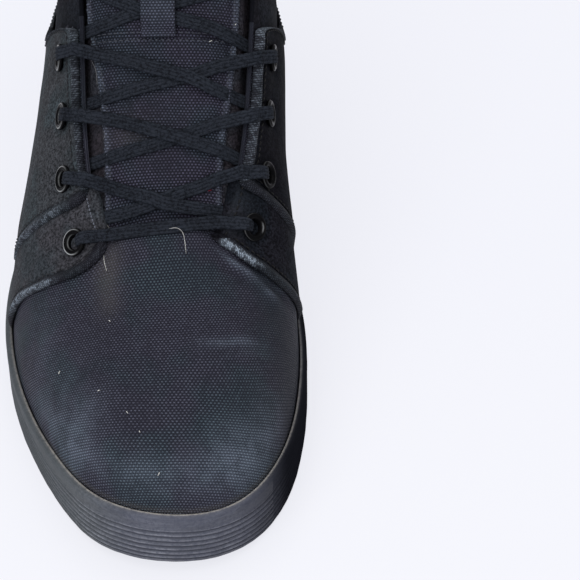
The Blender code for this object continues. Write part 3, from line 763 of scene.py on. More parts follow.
def canvas_finish(name, deep, crown, rubbed, pitch=(1.25, 0.93), relief=0.45, drift=1.2, bias=False):
    """Coarse waxed canvas: rows of raised crowns, worn pale and painted with sheen where the wear mark says,
    and darkened by painted shade where the deep mark says.
    """
    s = Shader(name)
    u, w = s.cloth()
    if bias:
        # Cut slantwise, so that its rows run at half a right angle to the strip.
        u, w = (s.times(length, math.sqrt(0.5)) for length in (s.plus(u, w), s.minus(w, u)))
    place = s.place()
    height, weft, thread = weave(s, u, w, pitch[0], pitch[1], drift)
    blotch = s.noise(place, 0.028, 2.0, 0.55)
    fine = s.noise(place, 0.16, 3.0, 0.6)
    grain = s.noise(place, 1.7, 2.0, 0.6)
    lightness = s.times(
        s.ramp(blotch, 0.3, 0.72, 0.62, 1.38),
        s.ramp(fine, 0.25, 0.75, 0.78, 1.2),
        s.ramp(thread, 0.0, 1.0, 0.62, 1.4),
    )
    share = s.times(s.ramp(weft, 0.1, 0.9), lightness, s.ramp(grain, 0.25, 0.7, 0.6, 1.25), clamp=True)
    base = s.mix(share, deep, crown)
    # The dye leans to violet in some places and to green in others.
    tint = s.mix(s.ramp(s.noise(place, 0.045, 2.0, 0.6), 0.4, 0.62), (1.12, 0.96, 1.02), (0.9, 1.03, 0.98))
    base = s.tinted(base, tint)
    # The wear mark pales the crowns: rubbing, and on the vamp's toe painted sheen.
    worn = s.times(s.mark("wear"), s.ramp(fine, 0.3, 0.6, 0.55, 1.25))
    if bias:
        worn = s.times(worn, s.ramp(thread, 0.1, 0.9, 0.25, 1.5))
    worn = s.times(worn, s.ramp(height, 0.1, 0.8, 0.14, 1.0), clamp=True)
    base = s.mix(worn, base, rubbed)
    base = s.mix(s.marked("dust", grain, 0.25, 0.75, 0.5, 1.1), base, CANVAS_DUSTY)
    # Painted shade: the deep mark darkens the cloth back to its deep colour.
    base = s.mix(s.mark("deep"), base, deep)
    normal = s.bump(height, relief)
    normal = s.bump(grain, 0.10, 0.6, normal)
    rough = s.ramp(weft, 0.0, 1.0, 0.78, 0.58)
    return s.finish(base, rough, normal, specular=0.16)


def smooth_cloth_finish(name, deep, pale, mottle, specular):
    """A close-woven dark cloth with a rubbed, mottled face."""
    s = Shader(name)
    place = s.place()
    height, _, thread = weave(s, *s.cloth(), 0.92, 0.52, 0.6)
    blotch = s.noise(place, 0.05, 3.0, 0.6)
    fine = s.noise(place, 0.34, 4.0, 0.65)
    grain = s.noise(place, 2.1, 2.0, 0.6)
    nap = s.noise(place, 1.1, 3.0, 0.72)
    share = s.times(
        s.ramp(fine, 0.3, 0.75, 0.46, 0.74),
        s.ramp(blotch, 0.3, 0.7, 1 - mottle, 1.1),
        s.ramp(height, 0.0, 0.8, 0.88, 1.05),
        s.ramp(thread, 0.0, 1.0, 0.86, 1.1),
        s.ramp(nap, 0.37, 0.63, 0.08, 1.8),
        clamp=True,
    )
    base = s.mix(share, deep, pale)
    tint = s.ramp(s.noise(place, 0.06, 2.0, 0.6), 0.4, 0.62)
    base = s.tinted(base, s.mix(tint, (1.1, 0.97, 0.96), (0.95, 1.02, 1.02)))
    base = s.mix(s.marked("wear", grain, 0.3, 0.7, 0.4, 1.1), base, (0.12, 0.135, 0.165))
    base = s.mix(s.marked("dust", grain, 0.25, 0.75, 0.5, 1.1), base, CANVAS_DUSTY)
    # Painted shade: the deep mark darkens the cloth back to its deep colour.
    base = s.mix(s.mark("deep"), base, deep)
    normal = s.bump(height, 0.05)
    normal = s.bump(nap, 0.2, 0.5, normal)
    return s.finish(base, s.ramp(fine, 0.2, 0.8, 0.86, 0.7), normal, specular=specular)


BRAID_PITCH = 0.62


def lace_finish():
    """Flat braided cotton: lengthwise ribs crossed by slanting threads, with painted shade between the ribs
    and at the edges.
    """
    s = Shader("lace_weave")
    u, w = s.cloth()
    place = s.place()
    lean = s.times(u, 1.2)
    slants = s.plus(lean, w), s.minus(w, lean)
    threads = s.math("MAXIMUM", *(s.wave("SINE", s.times(slant, math.pi / BRAID_PITCH)) for slant in slants))
    fuzz = s.noise(place, 1.1, 4.0, 0.7)
    blotch = s.noise(place, 0.09, 2.0, 0.5)
    # Painted shade: the cloth is darker between the ribs and along the edges.
    painted_rib_shade = s.wave("SINE", s.times(u, math.pi))
    share = s.times(
        s.ramp(threads, 0.2, 1.0, 0.4, 0.9),
        s.ramp(fuzz, 0.34, 0.66, 0.2, 1.6),
        s.ramp(painted_rib_shade, 0.0, 0.55, 0.4, 1.0),
        s.ramp(blotch, 0.3, 0.7, 0.75, 1.15),
        clamp=True,
    )
    base = s.mix(share, (0.0030, 0.0035, 0.0050), (0.0235, 0.0275, 0.037))
    base = s.mix(s.marked("wear", fuzz, 0.35, 0.65, 0.2, 1.0), base, (0.11, 0.12, 0.15))
    normal = s.bump(threads, 0.16)
    normal = s.bump(fuzz, 0.14, 0.5, normal)
    return s.finish(base, 0.82, normal, specular=0.06)


def thread_finish(name, colour):
    """Spun thread of one colour, darker and paler by its fuzz."""
    s = Shader(name)
    fuzz = s.noise(s.place(), 2.4, 2.0, 0.6)
    dark, pale = (tuple(share * c for c in colour) for share in (0.6, 1.25))
    shade = s.mix(s.ramp(fuzz, 0.3, 0.7), dark, pale)
    return s.finish(shade, 0.7, s.bump(fuzz, 0.05, 0.6), specular=0.3)


def rubber_finish(name="sole_rubber_dusty", specular=0.06):
    """Matt black rubber, greyed by dust and rubbed pale at the toe's ribs; its marks also paint a highlight
    and shade.
    """
    s = Shader(name)
    place = s.place()
    parts = s.nodes.new("ShaderNodeSeparateXYZ")
    s.tree.links.new(place, parts.inputs[0])
    broad = s.noise(s.stretch(place, (0.5, 0.5, 2.0)), 0.07, 3.0, 0.6)
    streak = s.noise(s.stretch(place, (0.16, 0.5, 2.4)), 0.55, 4.0, 0.65)
    specks = s.noise(place, 0.9, 3.0, 0.7)
    fine = s.noise(place, 3.5, 2.0, 0.6)
    base = s.mix(s.ramp(broad, 0.3, 0.7), (0.050, 0.054, 0.074), (0.065, 0.070, 0.096))
    base = s.mix(s.times(s.ramp(streak, 0.45, 0.75), 0.2), base, (0.095, 0.105, 0.15))
    # The outer side is tinted a greener grey than the toe.
    outer_side = s.ramp(parts.outputs[0], -24.0, 2.0, 1.0, 0.0)
    base = s.tinted(base, s.mix(outer_side, (1.0, 1.0, 1.0), (1.02, 1.07, 0.86)))
    # The wear mark pales the rubber: rubbing at the toe, and a painted highlight along the inner side's lip.
    scuff = s.marked("wear", streak, 0.3, 0.7, 0.35, 1.0)
    scuff = s.times(scuff, s.ramp(specks, 0.3, 0.62, 0.3, 1.0), clamp=True)
    base = s.mix(scuff, base, (0.36, 0.37, 0.42))
    base = s.mix(s.marked("dust", specks, 0.3, 0.6, 0.35, 1.1), base, (0.34, 0.32, 0.30))
    # Painted shade: the deep mark darkens the rubber to near black on the inner side.
    base = s.mix(s.mark("deep"), base, (0.0045, 0.0047, 0.0065))
    normal = s.bump(specks, 0.12, 0.6)
    normal = s.bump(fine, 0.05, 0.6, normal)
    return s.finish(base, s.ramp(streak, 0.3, 0.7, 0.55, 0.72), normal, specular=specular)


def tread_finish(name="tread_rubber"):
    """Gritty rubber that meets the ground."""
    s = Shader(name)
    place = s.place()
    broad = s.noise(place, 0.06, 3.0, 0.6)
    grit = s.noise(place, 0.8, 4.0, 0.7)
    base = s.mix(s.ramp(broad, 0.3, 0.7), (0.018, 0.018, 0.02), (0.055, 0.053, 0.052))
    base = s.mix(s.times(s.ramp(grit, 0.5, 0.75), 0.5), base, (0.16, 0.145, 0.125))
    return s.finish(base, 0.75, s.bump(grit, 0.2, 0.7), specular=0.35)


def enamel_finish(name, worn_at):
    """Black enamelled metal, rubbed to bare pewter where the wear mark says, which also paints glints as
    bare pewter.
    """
    s = Shader(name)
    fine = s.noise(s.place(), 0.8, 3.0, 0.6)
    bare = s.times(s.marked("wear", fine, 0.25, 0.6, 0.7, 1.1), worn_at, clamp=True)
    base = s.mix(bare, (0.0035, 0.0035, 0.004), (0.60, 0.615, 0.62))
    rough = s.ramp(bare, 0.0, 1.0, 0.24, 0.42)
    return s.finish(base, rough, s.bump(fine, 0.05, 0.5), metal=bare, specular=0.025)


def lining_finish():
    """Knitted lining: small dark cells."""
    s = Shader("lining_mesh")
    height, _, _ = weave(s, *s.cloth(), 1.5, 1.3, 0.8)
    soft = s.noise(s.place(), 0.2, 3.0, 0.6)
    share = s.times(s.ramp(height, 0.05, 0.8), s.ramp(soft, 0.3, 0.7, 0.5, 1.1), clamp=True)
    base = s.mix(share, (0.006, 0.0065, 0.008), (0.035, 0.037, 0.043))
    return s.finish(base, 0.88, s.bump(height, 0.3), specular=0.2)


def footbed_finish():
    """Felted footbed, greyer where a foot has pressed it."""
    s = Shader("footbed_felt")
    place = s.place()
    fuzz = s.noise(place, 1.2, 4.0, 0.7)
    press = s.noise(place, 0.035, 2.0, 0.5)
    base = s.mix(s.ramp(fuzz, 0.3, 0.7), (0.012, 0.0125, 0.014), (0.045, 0.046, 0.05))
    base = s.mix(s.times(s.ramp(press, 0.4, 0.7), 0.4), base, (0.07, 0.068, 0.066))
    return s.finish(base, 0.9, s.bump(fuzz, 0.25, 0.7), specular=0.2)


def floor_finish():
    """Pale seamless paper with the faintest grain."""
    s = Shader("floor_paper")
    place = s.place()
    broad = s.noise(place, 0.0022, 2.0, 0.5)
    grain = s.noise(place, 0.25, 3.0, 0.6)
    base = s.mix(s.ramp(broad, 0.35, 0.65), (0.15, 0.152, 0.165), (0.16, 0.16, 0.165))
    glow = (0.73, 0.735, 0.785, 1.0)
    normal = s.bump(grain, 0.05, 0.2)
    return s.finish(base, 0.65, normal, specular=0.3, Emission_Color=glow, Emission_Strength=1.0)


# The upper

# Troughs that walking has pressed into the vamp, seen from above:
# x and y of both ends, sideways bow, half-width, depth.
CREASES = (
    (30.0, -60.0, 42.0, -62.6, 0.4, 1.6, 0.8),
    (26.5, -65.6, 40.0, -69.6, 0.6, 2.4, 0.9),
    (42.5, -65.4, 49.0, -63.0, 0.2, 1.6, 0.7),
    (24.0, -96.5, 46.0, -84.0, -2.6, 3.0, 0.9),
    (31.0, -78.0, 46.5, -72.0, -1.4, 2.6, 0.6),
    (-4.0, -80.0, 34.0, -81.0, -2.0, 6.5, 0.5),
    (-30.0, -76.0, -6.0, -83.0, 2.0, 6.0, 0.45),
    (-44.0, -83.0, -24.0, -73.0, 1.5, 4.0, 0.5),
    (-20.5, -60.0, -16.0, -84.0, 1.5, 5.0, 0.6),
    (-46.0, -96.0, -26.0, -92.0, 1.5, 5.0, 0.4),
)
# Raised folds beside them, in the same order of columns, with height for depth.
FOLDS = (
    (27.6, -62.2, 39.0, -66.2, 0.3, 1.7, 0.9),
    (40.0, -68.2, 47.0, -67.6, 0.0, 1.9, 0.7),
    (27.0, -93.0, 44.0, -82.0, -2.4, 2.4, 0.8),
    (34.0, -68.5, 46.0, -66.5, -0.6, 2.2, 0.5),
    (-17.5, -62.0, -12.0, -80.0, 1.0, 4.0, 0.55),
)
# Places on the vamp painted darker as shade, in the columns of RUBBED_AND_SHEEN.
PAINTED_SHADE_SPOTS = (
    (46.0, -74.0, 9.0, 22.0, 8, 0.62),
    (52.5, -98.0, 6.5, 30.0, 0, 0.8),
    (-50.0, -98.0, 5.0, 26.0, 0, 0.4),
    (-33.0, -122.5, 2.6, 13.0, 38, 0.45),
    (20.0, -66.0, 14.0, 9.0, 0, 0.2),
)
# Places where the vamp's dye has rubbed off, and broad patches over the toe that are painted
# sheen where the light falls: x, y, half-lengths across and along, turn in degrees, strength.
RUBBED_AND_SHEEN = (
    (33.2, -63.9, 6.0, 1.3, -19, 0.7),
    (43.2, -68.0, 2.8, 1.5, 0, 0.75),
    (46.9, -61.6, 2.4, 0.7, 38, 0.3),
    (34.5, -92.2, 11.0, 1.5, 22, 0.3),
    (24.0, -95.4, 6.0, 1.3, 4, 0.2),
    (38.0, -94.5, 8.0, 1.2, 28, 0.12),
    (-21.5, -121.0, 7.5, 10.0, -38, 0.40),
    (-36.5, -106.0, 3.2, 12.0, 24, 0.14),
    (-28.0, -108.0, 6.0, 10.0, -25, 0.16),
    (33.0, -130.0, 12.0, 8.0, 40, 0.42),
    (42.0, -113.0, 7.0, 10.0, 20, 0.14),
    (5.0, -139.0, 18.0, 6.0, 0, 0.10),
    (-35.0, -90.0, 5.0, 14.0, 0, 0.13),
)
DUSTED = (
    (-12.6, -70.5, 4.2, 10.5, -4, 0.46),
    (-10.8, -81.5, 3.6, 4.5, 0, 0.22),
    (-15.5, -64.0, 4.0, 6.0, 0, 0.14),
)


def along_lines(points, table):
    """The sum of soft ridges along bowed lines seen from above."""
    total = np.zeros(points.shape[:-1])
    for x0, y0, x1, y1, bow, width, height in table:
        start, end = np.array((x0, y0)), np.array((x1, y1))
        length = np.linalg.norm(end - start)
        ahead = (end - start) / length
        offset = points[..., :2] - start
        run = offset @ ahead
        share = np.clip(run / length, 0, 1)
        aside = offset @ np.array((-ahead[1], ahead[0])) - 4 * bow * share * (1 - share)
        away = np.hypot(aside, run - share * length) / width
        fade = 0.25 + 0.75 * smooth(share, 0, 0.3) * smooth(1 - share, 0, 0.3)
        total += height * fade * np.exp(-(away**2))
    return total


def over_spots(points, table):
    """The sum of soft ellipses seen from above."""
    total = np.zeros(points.shape[:-1])
    for x, y, across, along, turn, strength in table:
        angle = math.radians(turn)
        dx, dy = points[..., 0] - x, points[..., 1] - y
        a = (dx * math.cos(angle) + dy * math.sin(angle)) / across
        b = (dy * math.cos(angle) - dx * math.sin(angle)) / along
        total += strength * np.exp(-(a**2 + b**2))
    return total


def gentle(points, seed):
    """Low, slow undulation, about -1 to 1."""
    rng = np.random.default_rng(seed)
    total = np.zeros(points.shape[:-1])
    for scale in (46, 31, 21, 14):
        for _ in range(3):
            way = rng.normal(size=3)
            way *= TAU / scale / np.linalg.norm(way)
            total += np.sin(points @ way + rng.uniform(0, TAU)) * (scale / 46) ** 1.2
    return total / 4


def vamp_lift(points, upness):
    shape = along_lines(points, FOLDS) - along_lines(points, CREASES)
    return smooth(upness, 0.1, 0.45) * shape + 0.22 * gentle(points, 3)


def cloth_frame_map(points, normals, top_start):
    """Cloth lengths over a grid whose last row is the top edge: across the foot, and along it."""
    aside = np.cross(normals, np.array((0.0, 1.0, 0.0)))
    aside /= np.linalg.norm(aside, axis=-1, keepdims=True)
    along = np.cross(aside, normals)
    steps = np.diff(points, axis=0)
    down_u = (steps * (aside[1:] + aside[:-1]) / 2).sum(-1)
    down_w = (steps * (along[1:] + along[:-1]) / 2).sum(-1)
    top, top_aside, top_along = points[-1], aside[-1], along[-1]
    edge = np.diff(top, axis=0)
    edge_u = np.concatenate([[0], np.cumsum((edge * (top_aside[1:] + top_aside[:-1]) / 2).sum(-1))])
    edge_w = np.concatenate([[0], np.cumsum((edge * (top_along[1:] + top_along[:-1]) / 2).sum(-1))])
    edge_u, edge_w = edge_u - edge_u[top_start], edge_w - edge_w[top_start]
    above_u = np.concatenate([np.cumsum(down_u[::-1], axis=0)[::-1], np.zeros((1, len(top)))])
    above_w = np.concatenate([np.cumsum(down_w[::-1], axis=0)[::-1], np.zeros((1, len(top)))])
    return np.stack([edge_u - above_u, edge_w - above_w], -1)


UPPER_COLUMNS = 480
CUFF_PUFF = 0.2


# The canvas was drawn down over the toe, so its rows lie in planes tilted this far, in radians,
# its threads spread apart towards the toe (y, and the share of their width), and it is
# stretched down the sides by the share that CLOTH_FLAT takes from its true width.
CLOTH_TILT = 0.61
CLOTH_SPREAD = ((-150.0, 0.82), (-126.0, 0.84), (-100.0, 0.96), (-80.0, 1.0), (-62.0, 1.07))


CLOTH_FLAT = 0.42
CLOTH_SKEW = 0.09


def vamp_cloth(points, cloth, centre):
    """The cloth map with its rows laid in tilted planes, as long as the centre line."""
    def tilted(p):
        return p[..., 1] * math.cos(CLOTH_TILT) + p[..., 2] * math.sin(CLOTH_TILT)

    run = np.concatenate([[0], np.cumsum(np.linalg.norm(np.diff(centre, axis=0), axis=1))])
    along = np.interp(tilted(points), tilted(centre), run)
    along += np.clip(tilted(points) - tilted(centre[-1]), 0, None)
    along -= CLOTH_SKEW * points[..., 0] * smooth(points[..., 1], -122, -88)
    straight = np.interp(points[..., 1], centre[:, 1], centre[:, 0]) - points[..., 0]
    across = cloth[..., 0] * (1 - CLOTH_FLAT) + straight * CLOTH_FLAT
    across *= np.interp(points[..., 1], *zip(*CLOTH_SPREAD))
    return np.stack([across, along], -1)


def cuff_share(phi, v):
    """0 at the quarter's top edge, 1 at the collar's edge, and how far back the cuff is."""
    lateral = np.where(phi <= math.pi, phi, TAU - phi)
    low = np.where(phi <= math.pi, cuff_v(lateral, -1), cuff_v(lateral, 1))
    low = np.minimum(low, 0.97)
    return np.clip((v - low) / (1 - low), 0, 1), lateral


THROAT_REACH = 3.4


def edge_reach(phi):
    """How far the vamp runs on under the lace bar, past the throat's front edge."""
    from_toe = np.minimum(phi, TAU - phi)
    return THROAT_REACH * (1 - smooth(from_toe, 0.8 * THROAT_FRONT, 1.1 * THROAT_FRONT))


def edge_rise(phi):
    """Unit vectors up the upper's face at its top edge."""
    rise = on_upper(phi, 1.0) - on_upper(phi, 0.985)
    return rise / np.linalg.norm(rise, axis=-1, keepdims=True)


def build_upper_shell(canvas, cuff, lining):
    """The upper's whole cloth: outer face, rounded edge and lining in one closed skin."""
    piece = Piece("upper_shell", canvas, cuff, lining)
    phi = np.linspace(-math.pi, math.pi, UPPER_COLUMNS + 1)
    wrapped = np.mod(phi, TAU)
    wrapped[-1] = math.pi
    levels = np.concatenate([np.linspace(0, 0.9, 88), np.linspace(0.9, 1, 17)[1:]])
    turn, v = np.meshgrid(wrapped, levels)
    plain = on_upper(turn, v)
    normals = upper_normal(turn, v)
    share, lateral = cuff_share(turn, v)
    corner = float(facing_phi(CUFF_STATION, -1))
    back = smooth(lateral, corner - 0.02, corner + 0.25)
    puff = back * CUFF_PUFF * np.sin(math.pi * np.clip(share, 0, 1)) ** 0.7
    puff -= back * 0.5 * np.exp(-(((share - 0.02) * 30) ** 2))
    vamp = 1 - smooth(lateral, 1.25, 1.45)
    lift = puff + vamp * vamp_lift(plain, normals[..., 2]) + (1 - vamp) * 0.25 * gentle(plain, 5)
    # The edge itself stays put, so that the tongue and the panels keep their places.
    lift = lift * smooth(1 - v, 0, 0.03)
    reach = (edge_reach(turn) * smooth(v, 0.8, 1))[..., None]
    outer = plain + normals * lift[..., None] + edge_rise(turn) * reach
    cloth = cloth_frame_map(plain, normals, UPPER_COLUMNS // 2)
    cloth = vamp_cloth(plain, cloth, plain[:, UPPER_COLUMNS // 2])
    # Rubbed wear, with painted sheen over the toe.
    wear = vamp * over_spots(plain, RUBBED_AND_SHEEN)
    dust = vamp * over_spots(plain, DUSTED)
    height = plain[..., 2] - CURVES["rim_z"](turn)
    # A paler band round the toe, a little above the rim: rubbed crowns, with painted sheen where the toe
    # turns down to the rim.
    wear += vamp * 0.2 * np.exp(-((height - 10.5) / 4.5) ** 2) * smooth(-plain[..., 1], 84, 112)
    dust += vamp * 0.5 * np.exp(-((height - 0.6) / 0.9) ** 2) * smooth(-plain[..., 1], 80, 110)
    # Painted shade over parts of the vamp, in the deep mark.
    deep = vamp * over_spots(plain, PAINTED_SHADE_SPOTS)
    # The cuff's cloth starts a few rows down, under the quarter's edge.
    above = np.minimum(np.arange(len(v) - 1) + 4, len(v) - 1)
    is_cuff = (back[:-1, :-1] > 0.01) & (share[above, :-1] > 0.0) & (v[:-1, :-1] > 0.3)
    piece.grid(outer, cloth, wear, dust, deep, slot=is_cuff.astype(int))

    add_shell_rim(piece, phi, wrapped, corner)
    inner = add_shell_lining(piece, wrapped, corner, plain[0, :, 2])
    piece.grid(np.array([inner[-1], outer[0]]), slot=2)
    shell = ride(piece.build())
    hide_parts("upper")
    return shell


def add_shell_rim(piece, phi, wrapped, corner):
    """The rolled edge round the throat and the collar."""
    thick = wall_thickness(wrapped, np.ones_like(wrapped))
    rise = edge_rise(wrapped)
    edge_normal = upper_normal(wrapped, 1.0)
    edge = on_upper(wrapped, 1.0) + rise * edge_reach(wrapped)[:, None]
    rim = []
    for angle in np.linspace(0, math.pi, 9):
        out = (math.cos(angle) - 1) * thick / 2
        up = math.sin(angle) * thick / 2 * 0.8
        rim.append(edge + edge_normal * out[:, None] + rise * up[:, None])
    is_back = (smooth(np.minimum(wrapped, TAU - wrapped), corner, corner + 0.05) > 0.5)[:-1]
    # Painted shade on the rolled edge: dark on the inner side, and on the outer side darker towards the
    # collar.
    rim_painted_shade = np.where(phi < 0, 0.85, 0.15 + 0.8 * smooth(phi, corner - 0.3, corner))
    rim_slots = np.broadcast_to(is_back.astype(int), (8, UPPER_COLUMNS))
    piece.grid(np.array(rim), slot=rim_slots, wear=0.03, deep=rim_painted_shade)


def add_shell_lining(piece, wrapped, corner, foot_heights):
    """The lining, from the edge down to the wall's foot. Returns its points."""
    turn, v = np.meshgrid(wrapped, np.linspace(1, 0, 36))
    depth = wall_thickness(turn, v)
    share, lateral = cuff_share(turn, v)
    back = smooth(lateral, corner, corner + 0.3)
    depth = depth + back * 1.2 * np.sin(math.pi * share) ** 0.8
    reach = (edge_reach(turn) * smooth(v, 0.8, 1))[..., None]
    inner = on_upper(turn, v) - upper_normal(turn, v) * depth[..., None] + edge_rise(turn) * reach
    inner[-1, :, 2] = foot_heights
    piece.grid(inner, slot=2)
    return inner


# The panels over the upper's sides

EDGING_WIDTH = 3.9
# How many times narrower the edging is along the facing than down the front seam.
FACING_NARROW = {-1: 1.75, 1: 1.1}
# Distance from the edge and height above the panel's face, across the rolled edging.
EDGING_ROLL = (
    (0.0, 0.0),
    (0.8, 0.62),
    (1.5, 0.86),
    (2.2, 0.80),
    (2.9, 0.50),
    (3.5, 0.10),
    (3.9, -0.28),
    (4.4, -0.30),
    (5.0, 0.0),
    (5.8, 0.12),
    (7.0, 0.0),
    (400.0, 0.0),
)


def eyelet_spots(side):
    """Each eyelet's middle on one side, with its normal and the panel under it."""
    spots = []
    for row, places in enumerate(EYELETS, 1):
        station, inset = places[0 if side < 0 else 1]
        panel = {1: SADDLE_THICK, len(EYELETS): -OVERLAY_GAP}.get(row, QUARTER_THICK)
        phi = facing_phi(station, side)
        v = v_below_edge(phi, inset)
        spots.append((row, phi, v, panel))
    return spots


EYELET_SLOPE = 0.24
PARED_EDGE = 0.6


def eyelet_frame(phi, v):
    """The panel's normal and the way down it at an eyelet."""
    normal = upper_normal(phi, v)
    down = on_upper(phi, v - 0.02) - on_upper(phi, v)
    down -= normal * np.dot(down, normal)
    return normal, down / np.linalg.norm(down)


def sunk_at_eyelets(points, side, rows):
    """How far a panel is pressed in round each eyelet, and let in under its hole."""
    sunk = np.zeros(points.shape[:-1])
    for row, phi, v, panel in eyelet_spots(side):
        if row not in rows:
            continue
        middle = upper_point(phi, v, OVERLAY_GAP + panel)
        away = np.linalg.norm(points - middle, axis=-1)
        sunk += 0.55 * np.exp(-(((away - 5.4) / 1.9) ** 2))
        outward = (points - middle) @ eyelet_frame(phi, v)[1]
        sunk += EYELET_SLOPE * outward * np.exp(-((away / 7.5) ** 2))
        sunk += 3.4 * (1 - smooth(away, 2.6, 3.6))
    return sunk


def rounded(distance, reach):
    """0 at an edge and 1 from reach inwards, as a quarter of a circle."""
    return np.sqrt(1 - (1 - np.clip(distance / reach, 0, 1)) ** 2)


def panel_piece(name, side, phi, v, thick, top_roll, rows, finishes, rubs, fade, top_tuck=None):
    """A cloth panel on a grid of (phi, v) whose last row is its upper edge.

    Its front edge has a rolled edging. top_roll says how far the upper edge has one,
    from 0 to 1 in each column. fade is the height over which the front one grows.
    """
    piece = Piece(name, *finishes)
    base = upper_point(phi, v, OVERLAY_GAP + 0 * v)
    normals = upper_normal(phi, v)
    across = np.linalg.norm(np.diff(base, axis=1), axis=-1)
    down = np.linalg.norm(np.diff(base, axis=0), axis=-1)
    from_front = np.concatenate([np.zeros((len(base), 1)), np.cumsum(across, axis=1)], axis=1)
    from_back = from_front[:, -1:] - from_front
    up = np.concatenate([np.zeros((1, base.shape[1])), np.cumsum(down, axis=0)], axis=0)
    from_top = up[-1:] - up
    nearest = np.minimum(from_front, from_top)
    both = np.clip(5.0 - np.abs(from_front - from_top), 0, None)
    edge = np.clip(nearest - both * both / 40 * smooth(nearest, 0, 1), 0, None)
    rolled = np.where(from_front < from_top, 1.0, top_roll + 0 * edge)
    # The edging narrows round the corner from the front edge to the facing's.
    narrow = 1 + (FACING_NARROW[side] - 1) * smooth(from_front - from_top, -4, 10)
    narrow += 0.45 * (1 - smooth(up, *fade))
    roll = np.interp(edge * narrow, *zip(*EDGING_ROLL)) * rolled * np.clip(edge / 0.8, 0, 1)
    roll *= 0.15 + 0.85 * smooth(up, *fade)
    round_over = 0.7 + 0.7 * rolled
    # Without an edging the upper edge is pared thin.
    pared = 1 - PARED_EDGE * (1 - smooth(from_top, 0, 15)) * (1 - rolled)
    # Its foot at the front lies flatter, where the roll has died out.
    pared = pared * (1 - 0.3 * (1 - smooth(up, *fade)) * (1 - smooth(from_front, 4, 14)))
    height = (thick * pared * rounded(edge, round_over) + roll) * rounded(from_back, 0.9) * rounded(up, 0.9)
    outer = base + normals * height[..., None]
    inside = smooth(edge, 0, 2) * smooth(from_back, 0, 2)
    outer -= normals * (sunk_at_eyelets(outer, side, rows) * inside)[..., None]
    flat = smooth(edge, 4.5, 9) * smooth(from_back, 0, 6) * smooth(up, 0, 5)
    outer += normals * (0.3 * gentle(base, 11 + side) * flat)[..., None]
    along_edge = np.where(from_front <= from_top, up, from_front)
    is_edging = (edge * narrow < EDGING_WIDTH) & (rolled > 0.5)
    cloth = np.where(is_edging[..., None], np.stack([edge, along_edge], -1), np.stack([from_front, up], -1))
    wear, dust = rubs(edge, rolled, from_front, from_top, up, base)
    # Painted shade: the outer side's cloth darkens towards the heel, to match the inner side's painted shade
    # where they meet.
    deep = 0.85 * smooth(base[..., 1], 50, 138) if side < 0 else 0.0
    piece.grid(outer, cloth, wear, dust, deep, slot=is_edging.astype(int)[:-1, :-1])
    if top_tuck is not None:
        piece.grid(*top_tuck(outer, phi, cloth))
    piece.grid(base, flip=True)
    lines = [seam_line(outer, normals, from_front, from_top, STITCH_INSET)]
    down_columns = (from_top.T[:, ::-1], from_front.T[:, ::-1])
    turned = outer.transpose(1, 0, 2)[:, ::-1], normals.transpose(1, 0, 2)[:, ::-1]
    lines.append(seam_line(*turned, *down_columns, STITCH_INSET, keep=top_roll_row(top_roll, phi) > 0.5))
    lines.append(seam_line(*turned, *down_columns, CUFF_INSET, keep=top_roll_row(top_roll, phi) < 0.5))
    return piece, [line for line in lines if len(line[0]) > 4]


STITCH_INSET = 4.7
CUFF_INSET = 1.9


def top_roll_row(top_roll, phi):
    return np.ravel(top_roll + 0 * phi[-1:])


def seam_line(points, normals, distance, aside, inset, keep=None):
    """The line over a grid at that distance from one edge, clear of the other edge."""
    line, ups = [], []
    for i in range(len(points)):
        if aside[i].min() > 1e9 or (keep is not None and not keep[i]):
            continue
        here = np.interp(inset, distance[i], np.arange(len(distance[i])))
        if np.interp(here, np.arange(len(aside[i])), aside[i]) < inset:
            continue
        low = int(here)
        high = min(low + 1, len(points[i]) - 1)
        share = here - low
        line.append(points[i][low] * (1 - share) + points[i][high] * share)
        ups.append(normals[i][low])
    return np.array(line), np.array(ups)


FINE_STEP = 0.55
FINE_REACH = 9.0


def edge_spacing(width, coarse=1.6):
    """Steps from an edge inwards, closer near it, as shares of the width."""
    marks = [0.0, 0.25, 0.55, 0.9]
    while marks[-1] < FINE_REACH:
        marks.append(marks[-1] + FINE_STEP)
    left = width - marks[-1]
    count = max(int(left / coarse), 3)
    marks += list(marks[-1] + left * np.arange(1, count + 1) / count)
    return np.array(marks) / width


def row_spacing(height):
    """Levels from the rim, 0, to the upper edge, 1, closer near the upper edge."""
    return (1 - edge_spacing(height, coarse=1.3))[::-1]


def saddle_rubs(side):
    """Wear and dust over a saddle."""

    def rubs(edge, rolled, from_front, from_top, up, base):
        roll = rolled * np.exp(-(((edge - 1.4) / 1.15) ** 2))
        if side > 0:
            along = smooth(from_top, 1.0, 4.5) * (1 - smooth(from_top, 14, 21))
            wear = roll * (0.85 * along * (from_front < from_top + 3) + 0.05)
            near_top = 0.10 * np.exp(-(from_top / 7) ** 2)
            wear += near_top * smooth(from_front, 4, 6) * (1 - smooth(from_front, 16, 26))
        else:
            along = smooth(from_top, 22, 30) * (1 - smooth(from_top, 54, 62))
            wear = roll * (0.5 * along + 0.04)
        dust = 0.25 * np.exp(-((up / 3.0) ** 2))
        return wear, dust

    return rubs


